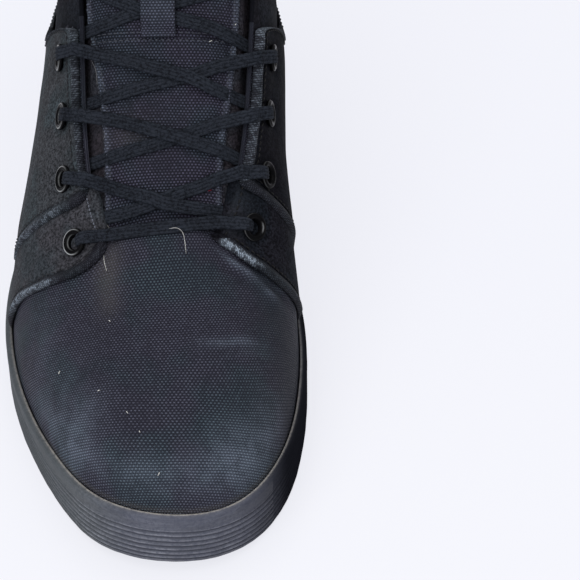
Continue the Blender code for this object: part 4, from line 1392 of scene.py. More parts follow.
def quarter_rubs(side):
    """Wear and dust over a quarter, with painted shine at its top corner."""
    corner = upper_point(facing_phi(CUFF_STATION, side) - 0.035 * side, 0.985, 0.0)

    def rubs(edge, rolled, from_front, from_top, up, base):
        roll = rolled * np.exp(-(((edge - 1.6) / 2.0) ** 2))
        facing = roll * (from_front > from_top)
        wear = facing * (0.12 if side < 0 else 0.15) + roll * 0.03
        lower = roll * (from_front < from_top) * smooth(from_top, 8, 18) * (1 - smooth(from_top, 56, 66))
        wear = wear + lower * (0.26 if side < 0 else 0.0)
        # The pale patch at the top corner: rubbed edging, with painted shine where the rolled edge catches
        # the light.
        from_corner = np.linalg.norm(base - corner, axis=-1)
        wear = wear + (0.4 if side < 0 else 0.3) * np.exp(-((from_corner / 5.5) ** 2))
        dust = 0.3 * np.exp(-((up / 3.0) ** 2))
        dust = dust + 0.12 * smooth(base[..., 1], 90, 140) * np.exp(-((up / 20) ** 2))
        return wear, dust

    return rubs


# How far past the throat's edge, and how deep below the saddle's face, its tucked cloth lies.
TUCK_LINE = ((0.0, 0.0), (0.9, -0.1), (1.7, 0.25), (2.3, 0.95), (2.5, 2.0), (2.4, 3.4))


def saddle_tuck(outer, phi, cloth):
    """The saddle's upper edge carried over the throat's edge and down to the tongue."""
    top, turn = outer[-1], phi[-1]
    rise, normal = edge_rise(turn), upper_normal(turn, 1.0)
    rows = [top + rise * past - normal * deep for past, deep in TUCK_LINE]
    lengths = np.concatenate([[0], np.cumsum(np.hypot(*np.diff(np.array(TUCK_LINE), axis=0).T))])
    extra = np.stack([0 * lengths, lengths], -1)
    return np.array(rows), cloth[-1][None] + extra[:, None, :]


def build_saddle_panel(side, side_name, finishes):
    """The front panel of one side, with the lowest eyelet. Its back runs under the quarter."""
    share = edge_spacing(31.0)[None, :]
    level = row_spacing(72.0)[:, None]
    v = level + 0 * share
    for _ in range(4):
        front, back = (through_marks(s[side], v) for s in (SADDLE_SEAMS, QUARTER_SEAMS))
        phi = side_phi(front + (back + 0.012 - front) * share, side)
        low = rim_v(phi)
        v = low + (1 - low) * level
    corner = 1 - smooth(share * 31, 2.5, 6)
    piece, lines = panel_piece(
        f"saddle_panel_{side_name}", side, phi, v, SADDLE_THICK, corner, (1,), finishes,
        saddle_rubs(side), (1, 8), saddle_tuck,
    )
    panel = ride(piece.build())
    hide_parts(f"saddle_{side_name}")
    return lines


def quarter_grid(side):
    """(phi, v) over a quarter, closer near its front and its upper edge."""
    level = row_spacing(105.0)[:, None]
    corner = facing_phi(CUFF_STATION, -1)
    heel = math.pi - 0.002
    ahead = edge_spacing(58.0)[None, :]
    fall = corner + CUFF_FALL * np.linspace(0.08, 1, 12)
    behind = fall[-1] + (heel - fall[-1]) * np.linspace(0, 1, 76)[1:]
    rest = np.concatenate([fall, behind])[None, :]
    v = level + 0 * np.concatenate([ahead, rest], axis=1)
    for _ in range(4):
        front = through_marks(QUARTER_SEAMS[side], v[:, :1])
        phi = np.concatenate([front + (corner - front) * ahead, rest + 0 * level], axis=1)
        low, high = rim_v(side_phi(phi, side)), cuff_v(phi, side)
        v = low + (high - low) * level
    return side_phi(phi, side), v


def build_quarter_panel(side, side_name, finishes):
    """The rear panel of one side, from the second seam to the back of the heel."""
    phi, v = quarter_grid(side)
    corner = facing_phi(CUFF_STATION, -1)
    lateral = side_phi(phi[-1], side)
    top_roll = (1 - smooth(lateral, corner + 0.06, corner + 0.17))[None, :]
    piece, lines = panel_piece(
        f"quarter_panel_{side_name}", side, phi, v, QUARTER_THICK, top_roll, (2, 3, 4), finishes,
        quarter_rubs(side), (12, 34),
    )
    panel = ride(piece.build())
    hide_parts(f"quarter_{side_name}")
    return lines


# Tongue

# Where the tongue's side seams run on the lateral and the medial side: station, cross.
RIDGES = {
    -1: (
        (0.0, 0.5), (12.0, 0.49), (17.0, 0.465), (27.0, 0.437), (37.0, 0.425), (51.0, 0.45),
        (61.0, 0.48), (74.0, 0.56), (87.0, 0.62), (110.0, 0.64), (145.0, 0.64),
    ),
    1: (
        (0.0, 0.5), (10.0, 0.47), (17.0, 0.445), (27.0, 0.425), (39.0, 0.42), (51.0, 0.44),
        (61.0, 0.46), (72.0, 0.48), (90.0, 0.49), (110.0, 0.5), (145.0, 0.5),
    ),
}
TONGUE_SEAM_STATION = 74.0
TONGUE_TIP = 14.0


def tongue_rows(crosses, stations, lift):
    """Points over the tongue. Stations below 3 are tucked under the vamp, and those
    above the facing's end carry on straight up."""
    rows = []
    last = tongue_line(FACING_LENGTH, crosses, lift)
    climb = last - tongue_line(FACING_LENGTH - 6, crosses, lift)
    climb = climb / np.linalg.norm(climb[len(crosses) // 2])
    low = tongue_line(3.0, crosses, lift)
    root = tongue_root(crosses, 9.0, lift)
    for station in stations:
        if station < 3:
            share = (3 - station) / 12
            rows.append(low + (root - low) * share)
        elif station > FACING_LENGTH:
            rows.append(last + climb * (station - FACING_LENGTH))
        else:
            rows.append(tongue_line(station, crosses, lift))
    return np.array(rows)


def grid_normals(points):
    """Unit normals of a grid: rows crossed with columns."""
    normals = np.cross(np.gradient(points, axis=1), np.gradient(points, axis=0))
    return normals / np.linalg.norm(normals, axis=-1, keepdims=True)


def tongue_surface():
    """(stations, crosses, points, normals) over the tongue's plain outer face."""
    crosses = np.linspace(-1, 1, 105)
    beyond = FACING_LENGTH + np.linspace(1, TONGUE_TIP, 14)
    stations = np.concatenate([np.linspace(-9, FACING_LENGTH, 124), beyond])
    points = tongue_rows(crosses, stations, 0.0)
    return stations, crosses, points, grid_normals(points)


def ridge_cross(station, side):
    return through_marks(RIDGES[side], station)


def tongue_relief(stations, crosses):
    """How far the tongue stands above its plain face, over rows of stations."""
    s, c = np.meshgrid(stations, crosses, indexing="ij")
    ridge_at = np.where(c < 0, ridge_cross(s, -1), ridge_cross(s, 1))
    ridge = np.exp(-(((np.abs(c) - ridge_at) / 0.022) ** 2))
    relief = 1.25 * ridge * smooth(s, 2, 8)
    relief -= 0.35 * np.exp(-(((np.abs(c) - ridge_at - 0.062) / 0.025) ** 2)) * smooth(s, 2, 8)
    relief -= 0.25 * np.exp(-(((np.abs(c) - ridge_at + 0.055) / 0.022) ** 2)) * smooth(s, 2, 8)
    pad = np.clip(1 - (c / (ridge_at - 0.05)) ** 2, 0, 1) ** 0.6
    relief += 0.5 * pad * smooth(s, 6, 20)
    seam = np.exp(-(((s - TONGUE_SEAM_STATION) / 0.9) ** 2)) * (np.abs(c) < ridge_at + 0.12)
    relief -= 0.7 * seam
    return relief


def build_tongue_cloth(canvas, gusset, lining):
    piece = Piece("tongue_cloth", canvas, gusset, lining)
    stations, crosses, points, normals = tongue_surface()
    relief = tongue_relief(stations, crosses) + 0.25 * gentle(points, 21)
    across = np.linalg.norm(np.diff(points, axis=1), axis=-1)
    run = np.concatenate([np.zeros((len(points), 1)), np.cumsum(across, axis=1)], axis=1)
    climb = np.linalg.norm(np.diff(points, axis=0), axis=-1)
    rise = np.concatenate([np.zeros((1, points.shape[1])), np.cumsum(climb, axis=0)], axis=0)
    middle = points.shape[1] // 2
    cloth = np.stack([run - run[:, middle : middle + 1], rise[:, middle : middle + 1] + 0 * run], -1)
    from_side = np.minimum(run, run[:, -1:] - run)
    from_tip = rise[-1:] - rise
    full = rounded(np.minimum(from_side, from_tip), 1.9)
    outer_depth = TONGUE_THICK / 2 * (1 - full) - relief * smooth(np.minimum(from_side, from_tip), 0.5, 4)
    inner_depth = TONGUE_THICK / 2 * (1 + full)
    # The outer face is closed onto the inner one round the sides and the tip.
    outer = points - normals * outer_depth[..., None]
    inner = points - normals * inner_depth[..., None]
    c = np.abs(crosses)[None, :] + 0 * run
    along = stations[:, None] + 0 * run
    ridge_at = np.where(crosses[None, :] < 0, ridge_cross(along, -1), ridge_cross(along, 1))
    ridge = np.exp(-(((c - ridge_at) / 0.03) ** 2))
    wear = 0.3 * ridge * smooth(stations, 3, 12)[:, None]
    patch = np.exp(-(((stations[:, None] - 38) / 7) ** 2 + ((crosses[None, :] + 0.25) / 0.16) ** 2))
    dust = 0.22 * patch
    slots = (c > ridge_at + 0.035).astype(int)[:-1, :-1]
    piece.grid(outer, cloth, wear, dust, slot=slots)
    piece.grid(inner, cloth, slot=2, flip=True)
    piece.grid(np.array([outer[0], inner[0]]), slot=2)
    cloth_piece = ride(piece.build())
    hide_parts("tongue")
    return cloth_piece


def tongue_at(station, cross, lift=0.0):
    """A place above the tongue's plain outer face, and its normal."""
    here, aside = tongue_line(station, (cross, cross + 0.01), 0.0)
    ahead = tongue_line(station + 0.5, (cross,), 0.0)[0]
    normal = np.cross(aside - here, ahead - here)
    normal /= np.linalg.norm(normal)
    return here + normal * lift, normal


def tongue_path(pairs, lift):
    """Points and normals over the tongue through (station, cross) pairs."""
    found = [tongue_at(station, cross, lift) for station, cross in pairs]
    return np.array([p for p, _ in found]), np.array([n for _, n in found])


# Laces

LACE_REST = 0.65
FACING_REST = 0.75
EYELET_CLEAR = 1.15
LACE_OVERHANG = 1.8
LACE_RIBS = 4
CROSS_LIFT = 1.2
BAR_ARCH = 3.0
# Each strand by its lower row and the side of its higher eyelet: the station where it
# passes the facing's edge, then (station, cross) over the tongue from the far facing on.
STRANDS = {
    (0, -1): (22.9, (8.8, 0.64), (6.8, 0.3), (8.8, 0.01), (11.8, -0.1), (14.8, -0.25), (17.6, -0.37)),
    (0, 1): (24.5, (9.0, -0.64), (7.4, -0.38), (8.2, -0.19), (11.8, 0.04), (16.2, 0.26), (19.2, 0.37)),
    (1, -1): (46.4, (30.0, 0.64), (32.0, 0.39), (35.0, 0.16), (38.0, -0.01), (41.8, -0.22), (44.2, -0.37)),
    (1, 1): (46.7, (29.4, -0.64), (31.0, -0.27), (34.2, -0.03), (39.0, 0.2), (42.0, 0.33)),
    (2, -1): (70.5, (52.0, 0.64), (55.5, 0.3), (59.2, 0.14), (62.4, -0.07), (65.4, -0.24), (67.6, -0.42)),
    (2, 1): (68.0, (51.4, -0.64), (53.8, -0.29), (57.0, -0.06), (60.2, 0.16), (62.2, 0.25), (64.2, 0.36)),
    (3, -1): (97.0, (72.4, 0.64), (74.8, 0.4), (77.4, 0.25), (79.6, 0.08), (84.0, -0.2), (89.0, -0.4)),
    (3, 1): (97.0, (77.4, -0.7), (78.0, -0.46), (79.4, -0.34), (81.6, -0.2), (86.0, 0.08), (91.0, 0.36)),
}


LACE_SIDES = 34


def lace_section():
    """A flat braid's outline, with lengthwise ribs on both faces."""
    x = np.linspace(-1, 1, LACE_SIDES)
    x = np.sign(x) * (1 - (1 - np.abs(x)) ** 1.15)
    edge = (1 - np.abs(x) ** 5) ** 0.5
    ribs = np.abs(np.sin(math.pi * LACE_RIBS * (x + 1) / 2))
    half = LACE_THICK / 2 * edge * (0.72 + 0.32 * ribs)
    top = np.stack([x * LACE_WIDTH / 2, half], -1)
    under = np.stack([x[::-1] * LACE_WIDTH / 2, -half[::-1]], -1)
    return np.concatenate([top[:-1], under[:-1]])


def facing_place(station, inset, side, lift):
    """A place above a facing, that far in from its edge. A negative inset overhangs it."""
    phi = facing_phi(station, side)
    v = v_below_edge(phi, max(inset, 0))
    place = upper_point(phi, v, lift)
    if inset < 0:
        inward = on_upper(phi, 1.0) - on_upper(phi, 0.98)
        place = place - inward / np.linalg.norm(inward) * inset
    return place, upper_normal(phi, v)


def panel_under(row):
    return {0: SADDLE_THICK, len(EYELETS) - 1: -OVERLAY_GAP}.get(row, QUARTER_THICK)


def into_eyelet(row, side, edge_station):
    """Stops from the facing's edge over the eyelet's rim and down its hole."""
    station, inset = EYELETS[row][0 if side < 0 else 1]
    face = OVERLAY_GAP + panel_under(row)
    half = LACE_THICK / 2
    stops = (
        (-LACE_OVERHANG, face + FACING_REST + half, 1.0, 1.0),
        (1.6, face + FACING_REST + half + 0.1, 1.0, 1.0),
        (inset - 6.2, face + EYELET_GAP + EYELET_CLEAR + half + 0.7, 1.0, 1.0),
        (inset - 3.9, face + EYELET_GAP + EYELET_CLEAR + half + 0.7, 0.98, 1.05),
        (inset - 1.9, face + EYELET_GAP + 1.2, 0.88, 1.2),
        (inset - 0.5, face - 0.7, 0.70, 1.35),
        (inset + 0.1, face - 2.6, 0.55, 1.4),
    )
    placed = []
    for at, lift, wide, deep in stops:
        over = edge_station + (station - edge_station) * min(at / inset, 1)
        placed.append((*facing_place(over, at, side, lift), wide, deep))
    return placed


def sweep_lace(piece, stops, **marks):
    """A ribbed lace through stops of (point, normal, width share, thickness share)."""
    rows = np.array([np.concatenate([p, n, (w, t)]) for p, n, w, t in stops])
    fine = spline(rows, len(rows) * 14)
    even = resampled(fine, 1.15)
    normals = even[:, 3:6] / np.linalg.norm(even[:, 3:6], axis=1, keepdims=True)
    section = lace_section()
    ribs = (section[:, 0] / LACE_WIDTH + 0.5) * LACE_RIBS
    girth = np.concatenate([ribs, ribs[:1]])
    sweep(piece, even[:, :3], normals, section, even[:, 6:8], girth, **marks)


def strand_stops(low, side):
    """From under one facing over the tongue, then over the other facing into its eyelet.

    side is the side of the eyelet. The lateral strand lies on top where two cross.
    """
    edge_station, *marks = STRANDS[low, side]
    over = into_eyelet(low + 1, side, edge_station)
    rest = LACE_REST + LACE_THICK / 2
    stops = []
    for inset in (7.5, 3.0):
        place, normal = facing_place(max(marks[0][0], 0.5), inset, -side, -WALL - 0.25 - LACE_THICK / 2)
        stops.append((place, normal, 0.95, 0.9))
    for share, (station, cross) in zip(np.linspace(0, 1, len(marks)), marks):
        lift = CROSS_LIFT * math.exp(-(((share - 0.5) / 0.28) ** 2)) if side < 0 else 0.0
        stops.append((*tongue_at(station, cross, rest + lift), 1.0, 1.0))
    (start, start_normal), (end, end_normal) = stops[-1][:2], over[0][:2]
    for share in (0.3, 0.6, 0.85):
        normal = start_normal + (end_normal - start_normal) * share
        stops.append((start + (end - start) * share, normal / np.linalg.norm(normal), 1.0, 1.0))
    return stops + over


def bar_stops():
    """Straight from the one lowest eyelet to the other, over both panels and the throat."""
    places = []
    for side, (station, inset) in zip((-1, 1), EYELETS[0]):
        places.append(facing_place(station, inset, side, OVERLAY_GAP + SADDLE_THICK))
    (left, left_up), (right, right_up) = places
    span = right - left
    length = np.linalg.norm(span)
    stops = []
    for away, lift, wide, deep in BAR_PROFILE:
        for end in (0, 1) if away < length / 2 - 1 else (0,):
            share = away / length if end == 0 else 1 - away / length
            up = left_up + (right_up - left_up) * share
            up /= np.linalg.norm(up)
            arch = 4 * share * (1 - share)
            bow = np.cross(up, span) / length * arch * (1.0 + 2.4 * smooth(share, 0.5, 0.85))
            place = left + span * share + up * (lift + BAR_ARCH * arch) + bow
            stops.append((share, place, up, wide, deep))
    stops.sort(key=lambda stop: stop[0])
    return [stop[1:] for stop in stops]


# Distance from the eyelet's middle, height over the panel, width and thickness shares.
BAR_PROFILE = (
    (0.3, -2.6, 0.55, 1.4),
    (0.9, -0.4, 0.68, 1.3),
    (2.2, 1.9, 0.88, 1.1),
    (4.4, 3.3, 0.98, 1.0),
    (6.6, 3.0, 1.0, 1.0),
    (9.5, 1.9, 1.0, 1.0),
    (13.0, 1.6, 1.0, 1.0),
    (21.0, 1.8, 1.0, 1.0),
)


def build_lace_pieces(finish):
    """The bar across the lowest eyelets, and a crossing for each pair of rows above."""
    bar = Piece("lace_bar_braid", finish)
    sweep_lace(bar, bar_stops())
    ride(bar.build())
    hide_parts("lace_bar")
    for low in range(len(EYELETS) - 1):
        name = f"lace_crossing_{low + 1}"
        pair = Piece(name + "_braid", finish)
        for side in (1, -1):
            sweep_lace(pair, strand_stops(low, side))
        made = ride(pair.build())
        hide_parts(name)


# The loop on the tongue

LOOP_FROM, LOOP_TO, LOOP_CROSS = 73.5, 101.0, -0.045
LOOP_WIDTH, LOOP_THICK = 12.1, 1.2
LOOP_STOPS = (
    (0.0, 0.75),
    (0.045, 0.85),
    (0.10, 1.7),
    (0.17, 3.3),
    (0.26, 4.1),
    (0.42, 4.25),
    (0.62, 4.1),
    (0.78, 3.2),
    (0.9, 1.2),
    (0.97, 0.8),
    (1.0, 0.75),
)


def build_loop(canvas):
    """A folded canvas strap, stitched to the tongue at both ends."""
    piece = Piece("lace_keeper_strap", canvas)
    stops = []
    for share, height in LOOP_STOPS:
        station = LOOP_FROM + (LOOP_TO - LOOP_FROM) * share
        place, normal = tongue_at(station, LOOP_CROSS, height + 0.45)
        stops.append(np.concatenate([place, normal]))
    route = resampled(spline(stops, 140), 0.7)
    x = np.concatenate([np.linspace(-1, 1, 26), np.linspace(1, -1, 26)[1:-1]])
    edge = 0.35 + 0.65 * (1 - np.abs(x) ** 8) ** 0.5
    ridge = 0.18 * np.exp(-(((np.abs(x) - 0.86) / 0.07) ** 2))
    selvedge = ridge - 0.14 * np.exp(-(((np.abs(x) - 0.72) / 0.05) ** 2))
    upper = np.arange(len(x)) < 26
    y = np.where(upper, LOOP_THICK / 2 * edge + selvedge, -LOOP_THICK / 2 * edge)
    section = np.stack([x * LOOP_WIDTH / 2, y], -1)
    normals = route[:, 3:] / np.linalg.norm(route[:, 3:], axis=1, keepdims=True)
    sweep(piece, route[:, :3], normals, section, wear=0.12)
    strap = ride(piece.build())
    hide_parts("tongue_lace_loop")
    return strap


# Eyelets

EYELET_SEGMENTS = 44
# Radius and height round the rim, from under its outer lip to the foot of the barrel.
EYELET_PROFILE = (
    (4.75, -0.42),
    (4.95, -0.1),
    (4.98, 0.16),
    (4.88, 0.42),
    (4.72, 0.62),
    (4.56, 0.75),
    (4.40, 0.84),
    (4.24, 0.90),
    (4.05, 0.94),
    (3.7, 0.92),
    (3.3, 0.78),
    (3.0, 0.52),
    (2.82, 0.26),
    (2.68, -0.05),
    (2.58, -0.4),
    (2.5, -0.9),
    (2.5, -2.6),
    (2.9, -2.7),
    (2.95, -0.9),
    (3.3, -0.5),
)


# Lines round each side's rings: radius, half-width, wear, and how much more of it there is
# away from the throat. On the outer side both lines are worn metal; on the inner side the outer
# line is worn and the inner one is a painted glint of light, laid as bare pewter.
EYELET_WEAR_AND_GLINTS = {
    -1: ((4.42, 0.17, 0.45, 0.85), (2.82, 0.09, 0.04, 0.22)),
    1: ((4.86, 0.07, 0.05, -0.15), (3.3, 0.13, -1.1, 1.8)),
}


def build_eyelet_rings(worn, glossy):
    profile = np.array(EYELET_PROFILE)
    angle = np.linspace(0, TAU, EYELET_SEGMENTS, endpoint=False)
    for side, side_name, finish in ((-1, "lateral", worn), (1, "medial", glossy)):
        for row, phi, v, panel in eyelet_spots(side):
            middle = upper_point(phi, v, OVERLAY_GAP + panel + EYELET_GAP)
            facing, down = eyelet_frame(phi, v)
            facing = facing + down * EYELET_SLOPE
            facing /= np.linalg.norm(facing)
            aside = np.cross((0.0, 0.0, 1.0), facing)
            aside /= np.linalg.norm(aside)
            over = np.cross(facing, aside)
            around = aside[None, :] * np.cos(angle)[:, None] + over[None, :] * np.sin(angle)[:, None]
            rows = (
                middle
                + around[None] * profile[:, None, None, 0]
                + facing * profile[:, None, None, 1]
            )
            out = around @ np.array((side, 0.0, 0.0))
            # Worn lines, and on the inner side a painted glint, in the wear mark.
            wear = np.zeros(rows.shape[:-1])
            for radius, half, share, outer_share in EYELET_WEAR_AND_GLINTS[side]:
                line = np.exp(-(((profile[:, 0] - radius) / half) ** 2)) * (profile[:, 1] > 0.0)
                wear += line[:, None] * np.clip(share + outer_share * out, 0, 1)
            # The inner side's two top rings get a fainter worn line and painted glint.
            if side > 0 and row > 3:
                wear *= 0.25
            wear = np.concatenate([wear, wear[:, :1]], axis=1)
            piece = Piece(f"eyelet_ring_{side_name}_{row}", finish)
            piece.grid(np.concatenate([rows, rows[:1]]), wear=np.concatenate([wear, wear[:1]]), wrap=True)
            ring = ride(piece.build())
            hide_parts(f"eyelet_{side_name}_{row}")


# Sole and footbed

SOLE_COLUMNS = 540
# Shares of the wall's height below the rim at which the toe's grooves lie.
GROOVES = (0.31, 0.42, 0.53, 0.63, 0.73, 0.83, 0.915)
GROOVE_HALF = 0.021
GROOVE_DEPTH = 0.85
# How far the inner side's shading takes each row of the wall's lip.
LIP_SHADE = (0.2, 0.1, 0.5, 0.85)


def sole_frame():
    """(phi, rim points, outward, inside rows, toe share) round the sole."""
    phi = np.linspace(0, TAU, SOLE_COLUMNS, endpoint=False)
    rim_at = v_at_height(phi, CURVES["rim_z"](phi))
    rim = upper_point(phi, rim_at, GAP + 0 * phi)
    floor = upper_point(phi, 0 * phi, GAP + 0 * phi)
    floor[:, 2] = CURVES["base_z"](phi) - GAP
    side_y = -LAST_LENGTH / 2 * np.cos(phi)
    return phi, rim, plan_normals(rim), floor, 1 - smooth(side_y, -100, -40)


def sole_wall(frame_parts, share, out):
    """Points that share down the sole's wall, that far outside its plain face."""
    _, rim, outward, _, _ = frame_parts
    points = rim + outward * (RIM_THICK + WALL_FLARE * share + np.asarray(out))[:, None]
    ground = ground_height(points[:, 1])
    points[:, 2] = ground + (rim[:, 2] - ground) * (1 - share)
    return points


# The wall's bands, as shares of its height from the rim down: where the plain band above
# the grooves starts and ends, and where the foot's rounding starts.
BAND_START, BAND_END = 0.075, 0.25
FOOT_START, FOOT_DEPTH = 0.965, 0.035
LIP_ROUND, LIP_DEPTH = 0.9, 0.055
FOOT_ROUND = 1.1
# The wall wavers in and out a little, in waves that so many times go round it.
WAVES = (23, 41, 67, 97)
WAVER = 0.035
# Across a groove, in half-widths from its middle: place, share of its depth.
GROOVE_STEPS = ((-0.6, 0.55), (-0.25, 1.0), (0.25, 1.0), (0.6, 0.55))
# How shaded the inner side's wall has to be to take the rubber that doesn't shine.
SHADY_FROM = 0.6
# How far above the ground the underside's field lies, and the middle of the floor.
SOLE_HOLLOW = 1.6
SOLE_FLOOR_HEIGHT = 14.5


def sole_rows(parts):
    """The wall's rings from the rim's inner edge down to the ground, with wear and dust."""
    phi, _, _, _, toe = parts
    zero = 0 * phi
    rng = np.random.default_rng(5)
    waver = sum(rng.uniform(0.4, 1) * np.sin(phi * k + rng.uniform(0, TAU)) for k in WAVES) * WAVER
    rows, wear, dust = [], [], []

    def add(share, out, worn=0.0, dirty=0.0):
        rows.append(sole_wall(parts, share, zero + out + waver * smooth(share, 0, 0.2)))
        wear.append(zero + worn)
        dust.append(zero + dirty)

    rub = 0.5 + 0.5 * np.sin(phi * 7 + 1.3) * np.sin(phi * 12 + 0.4)
    front = smooth(np.cos(phi), 0.72, 0.97)
    # The rim's lip, rounded, with a line of dust caught along its inner edge. On the inner side its top rows
    # carry a painted highlight in the wear mark.
    caught = 0.4 + 0.6 * smooth(np.cos(phi), 0.35, 0.85)
    painted_lip_highlight = 0.75 * smooth(-np.sin(phi), 0.25, 0.65)
    add(0.012, -RIM_THICK + 0.1, 0.0, 0.7 * caught)
    add(0.0, -RIM_THICK + 0.35, painted_lip_highlight, 1.0 * caught)
    add(-0.004, -RIM_THICK + 0.75, 0.1 + 0.3 * painted_lip_highlight, 0.8 * caught)
    add(-0.002, -RIM_THICK + 1.1, 0.1 * (1 - painted_lip_highlight), 0.15 * caught)
    for angle in np.linspace(80, 0, 6):
        turn = math.radians(angle)
        out = -LIP_ROUND * (1 - math.cos(turn)) + 0.05
        add(LIP_DEPTH * (1 - math.sin(turn)), out, 0.05 + 0.1 * rub * front, 0.03)
    for share in np.linspace(BAND_START, BAND_END, 8):
        bulge = 0.12 * math.sin(math.pi * (share - LIP_DEPTH) / 0.2)
        add(share, bulge, 0.08 * rub + 0.08 * front, 0.05)
    last = BAND_END
    for groove in GROOVES:
        stops = np.linspace(last, groove - GROOVE_HALF, 5)[1:]
        for k, share in enumerate(stops):
            bulge = 0.16 * math.sin(math.pi * (k + 1) / 5)
            crown = math.sin(math.pi * (k + 1) / 5) ** 2
            add(share, bulge * toe, toe * front * (0.2 + 0.35 * rub) * crown + 0.06, 0.04)
        for step, deep in GROOVE_STEPS:
            add(groove + step * GROOVE_HALF, -GROOVE_DEPTH * deep * toe, 0.0, 0.10 * deep * toe)
        last = groove + GROOVE_HALF
    for share in np.linspace(last, FOOT_START, 4):
        add(share, 0.05 * toe, toe * front * 0.3 * rub, 0.1)
    for angle in np.linspace(20, 90, 5):
        turn = math.radians(angle)
        add(FOOT_START + FOOT_DEPTH * math.sin(turn), -FOOT_ROUND * (1 - math.cos(turn)), 0.1, 0.2)
    return np.array(rows), np.array(wear), np.array(dust)


def closed_columns(marks):
    """Marks for a ring that closes: the first column again after the last."""
    return np.concatenate([marks, marks[:, :1]], axis=1)


def build_sole(rubber, tread, shady):
    """The cupsole: its wall, the hidden top under the upper, the floor and the underside."""
    piece = Piece("sole_rubber", rubber, tread, shady)
    parts = sole_frame()
    phi, _, outward, floor, _ = parts
    wall, wear, dust = sole_rows(parts)
    # Painted shade: the inner side's wall is darkened towards near black in the deep mark, less on the lip's
    # rows, and where darkest it takes a rubber that doesn't shine.
    shaded = 0.93 * smooth(wall[..., 0], 14, 40) * smooth(wall[..., 1], -147, -116)
    shaded[: len(LIP_SHADE)] *= np.array(LIP_SHADE)[:, None]
    shaded = closed_columns(shaded)
    slots = 2 * (shaded > SHADY_FROM).astype(int)[:-1, :-1]
    wear, dust = closed_columns(wear), closed_columns(dust)
    piece.grid(wall, wear=wear, dust=dust, deep=shaded, wrap=True, slot=slots)

    inner_top = wall[0].copy()
    below = inner_top - outward * 0.12
    below[:, 2] -= 2.2
    hidden = np.array([floor, floor * 0.5 + below * 0.5, below, inner_top])
    piece.grid(hidden, wrap=True)
    middle_line = np.stack([0 * phi, np.clip(wall[-1][:, 1], -110, 110), 0 * phi], -1)
    underside, upside = [], []
    for share in np.linspace(0, 1, 12):
        ring = wall[-1] + (middle_line - wall[-1]) * share
        ring[:, 2] = ground_height(ring[:, 1]) + SOLE_HOLLOW * smooth(share, 0.05, 0.1)
        underside.append(ring)
        ring = floor + (middle_line - floor) * share
        ring[:, 2] = floor[:, 2] * (1 - share) + SOLE_FLOOR_HEIGHT * share
        upside.append(ring)
    piece.grid(np.array(underside), wrap=True, slot=1)
    piece.grid(np.array(upside), wrap=True)
    sole = ride(piece.build())
    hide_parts("cupsole")
    return sole


def sole_half_width(y):
    """x of the sole's edge on each side at one y: (lateral, medial)."""
    phi = np.linspace(0.02, math.pi - 0.02, 300)
    ends = []
    for side in (-1, 1):
        turned = side_phi(phi, side)
        points = on_upper(turned, 0.0)
        ends.append(float(np.interp(y, points[:, 1], points[:, 0])))
    return ends


LUG_PITCH = 9.0
LUG_HEIGHT = 1.7
# Each ring of a lug, from its root down: radius, height above the ground.
LUG_PROFILE = ((4.2, LUG_HEIGHT), (4.2, 0.35), (3.7, 0.0), (0.0, 0.0))


def build_tread(finish):
    """Hexagonal lugs over the sole's underside."""
    piece = Piece("tread_lugs", finish)
    row_step = LUG_PITCH * math.sqrt(3) / 2
    corners = np.linspace(0, TAU, 6, endpoint=False) + math.pi / 6
    row = 0
    y = -LAST_LENGTH / 2 + 7
    while y < LAST_LENGTH / 2 - 6:
        lateral, medial = sole_half_width(y)
        x = lateral + 5 + (LUG_PITCH / 2 if row % 2 else 0)
        while x < medial - 4:
            rings = []
            for radius, depth in LUG_PROFILE:
                across = x + radius * np.cos(corners)
                ring = np.stack([across, y + radius * np.sin(corners), 0 * corners], -1)
                ring[:, 2] = ground_height(ring[:, 1]) + depth
                rings.append(ring)
            top = np.broadcast_to(np.array((x, y, ground_height(y) + LUG_HEIGHT)), (6, 3))
            piece.grid(np.array([top] + rings), wrap=True)
            x += LUG_PITCH
        y += row_step
        row += 1
    lugs = ride(piece.build(crease=35))
    return lugs


def build_footbed(finish):
    """The footbed, dished, with a raised edge round the heel."""
    piece = Piece("footbed_pad", finish)
    phi = np.linspace(0, TAU, 240, endpoint=False)
    edge = on_upper(phi, 0.0)
    inner = edge - plan_normals(edge) * (WALL + 5 * GAP)
    base = CURVES["base_z"](phi)
    middle = np.stack([0 * phi, np.clip(inner[:, 1], -105, 105), 0 * phi], -1)
    heel = smooth(inner[:, 1], 40, 110)
    under, over = [], []
    for share in np.linspace(0, 1, 16):
        ring = inner + (middle - inner) * share
        ring[:, 2] = base * (1 - share) + 15.0 * share
        under.append(ring.copy())
        dish = INSOLE_THICK + (1.3 + 1.5 * heel) * (1 - smooth(share, 0.0, 0.35))
        ring[:, 2] += dish * rounded(np.array(share), 0.02)
        over.append(ring)
    over[0][:, 2] = base + 1.0
    piece.grid(np.array([under[0], over[0]]), wrap=True)
    piece.grid(np.array(over), wrap=True)
    piece.grid(np.array(under), wrap=True, flip=True)
    pad = ride(piece.build())
    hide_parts("insole")
    return pad


# Thread and lint

# Which of the panels' threads is worked in short beads.
BEADED = 2
PANEL_STITCH = {"pitch": 2.3, "length": 1.75, "slant": 0.25}
BEAD_STITCH = {"pitch": 1.25, "length": 0.8, "slant": 0.1}
PANEL_THREAD_RADIUS = 0.27


def build_seam_stitches(lines, *threads):
    """Thread along the panels' edgings and below the cuff. Each line says which thread."""
    piece = Piece("panel_stitching", *threads)
    for slot, points, normals in lines:
        stitch = BEAD_STITCH if slot == BEADED else PANEL_STITCH
        stitch_row(piece, points, normals, radius=PANEL_THREAD_RADIUS, slot=slot, **stitch)
    return ride(piece.build())


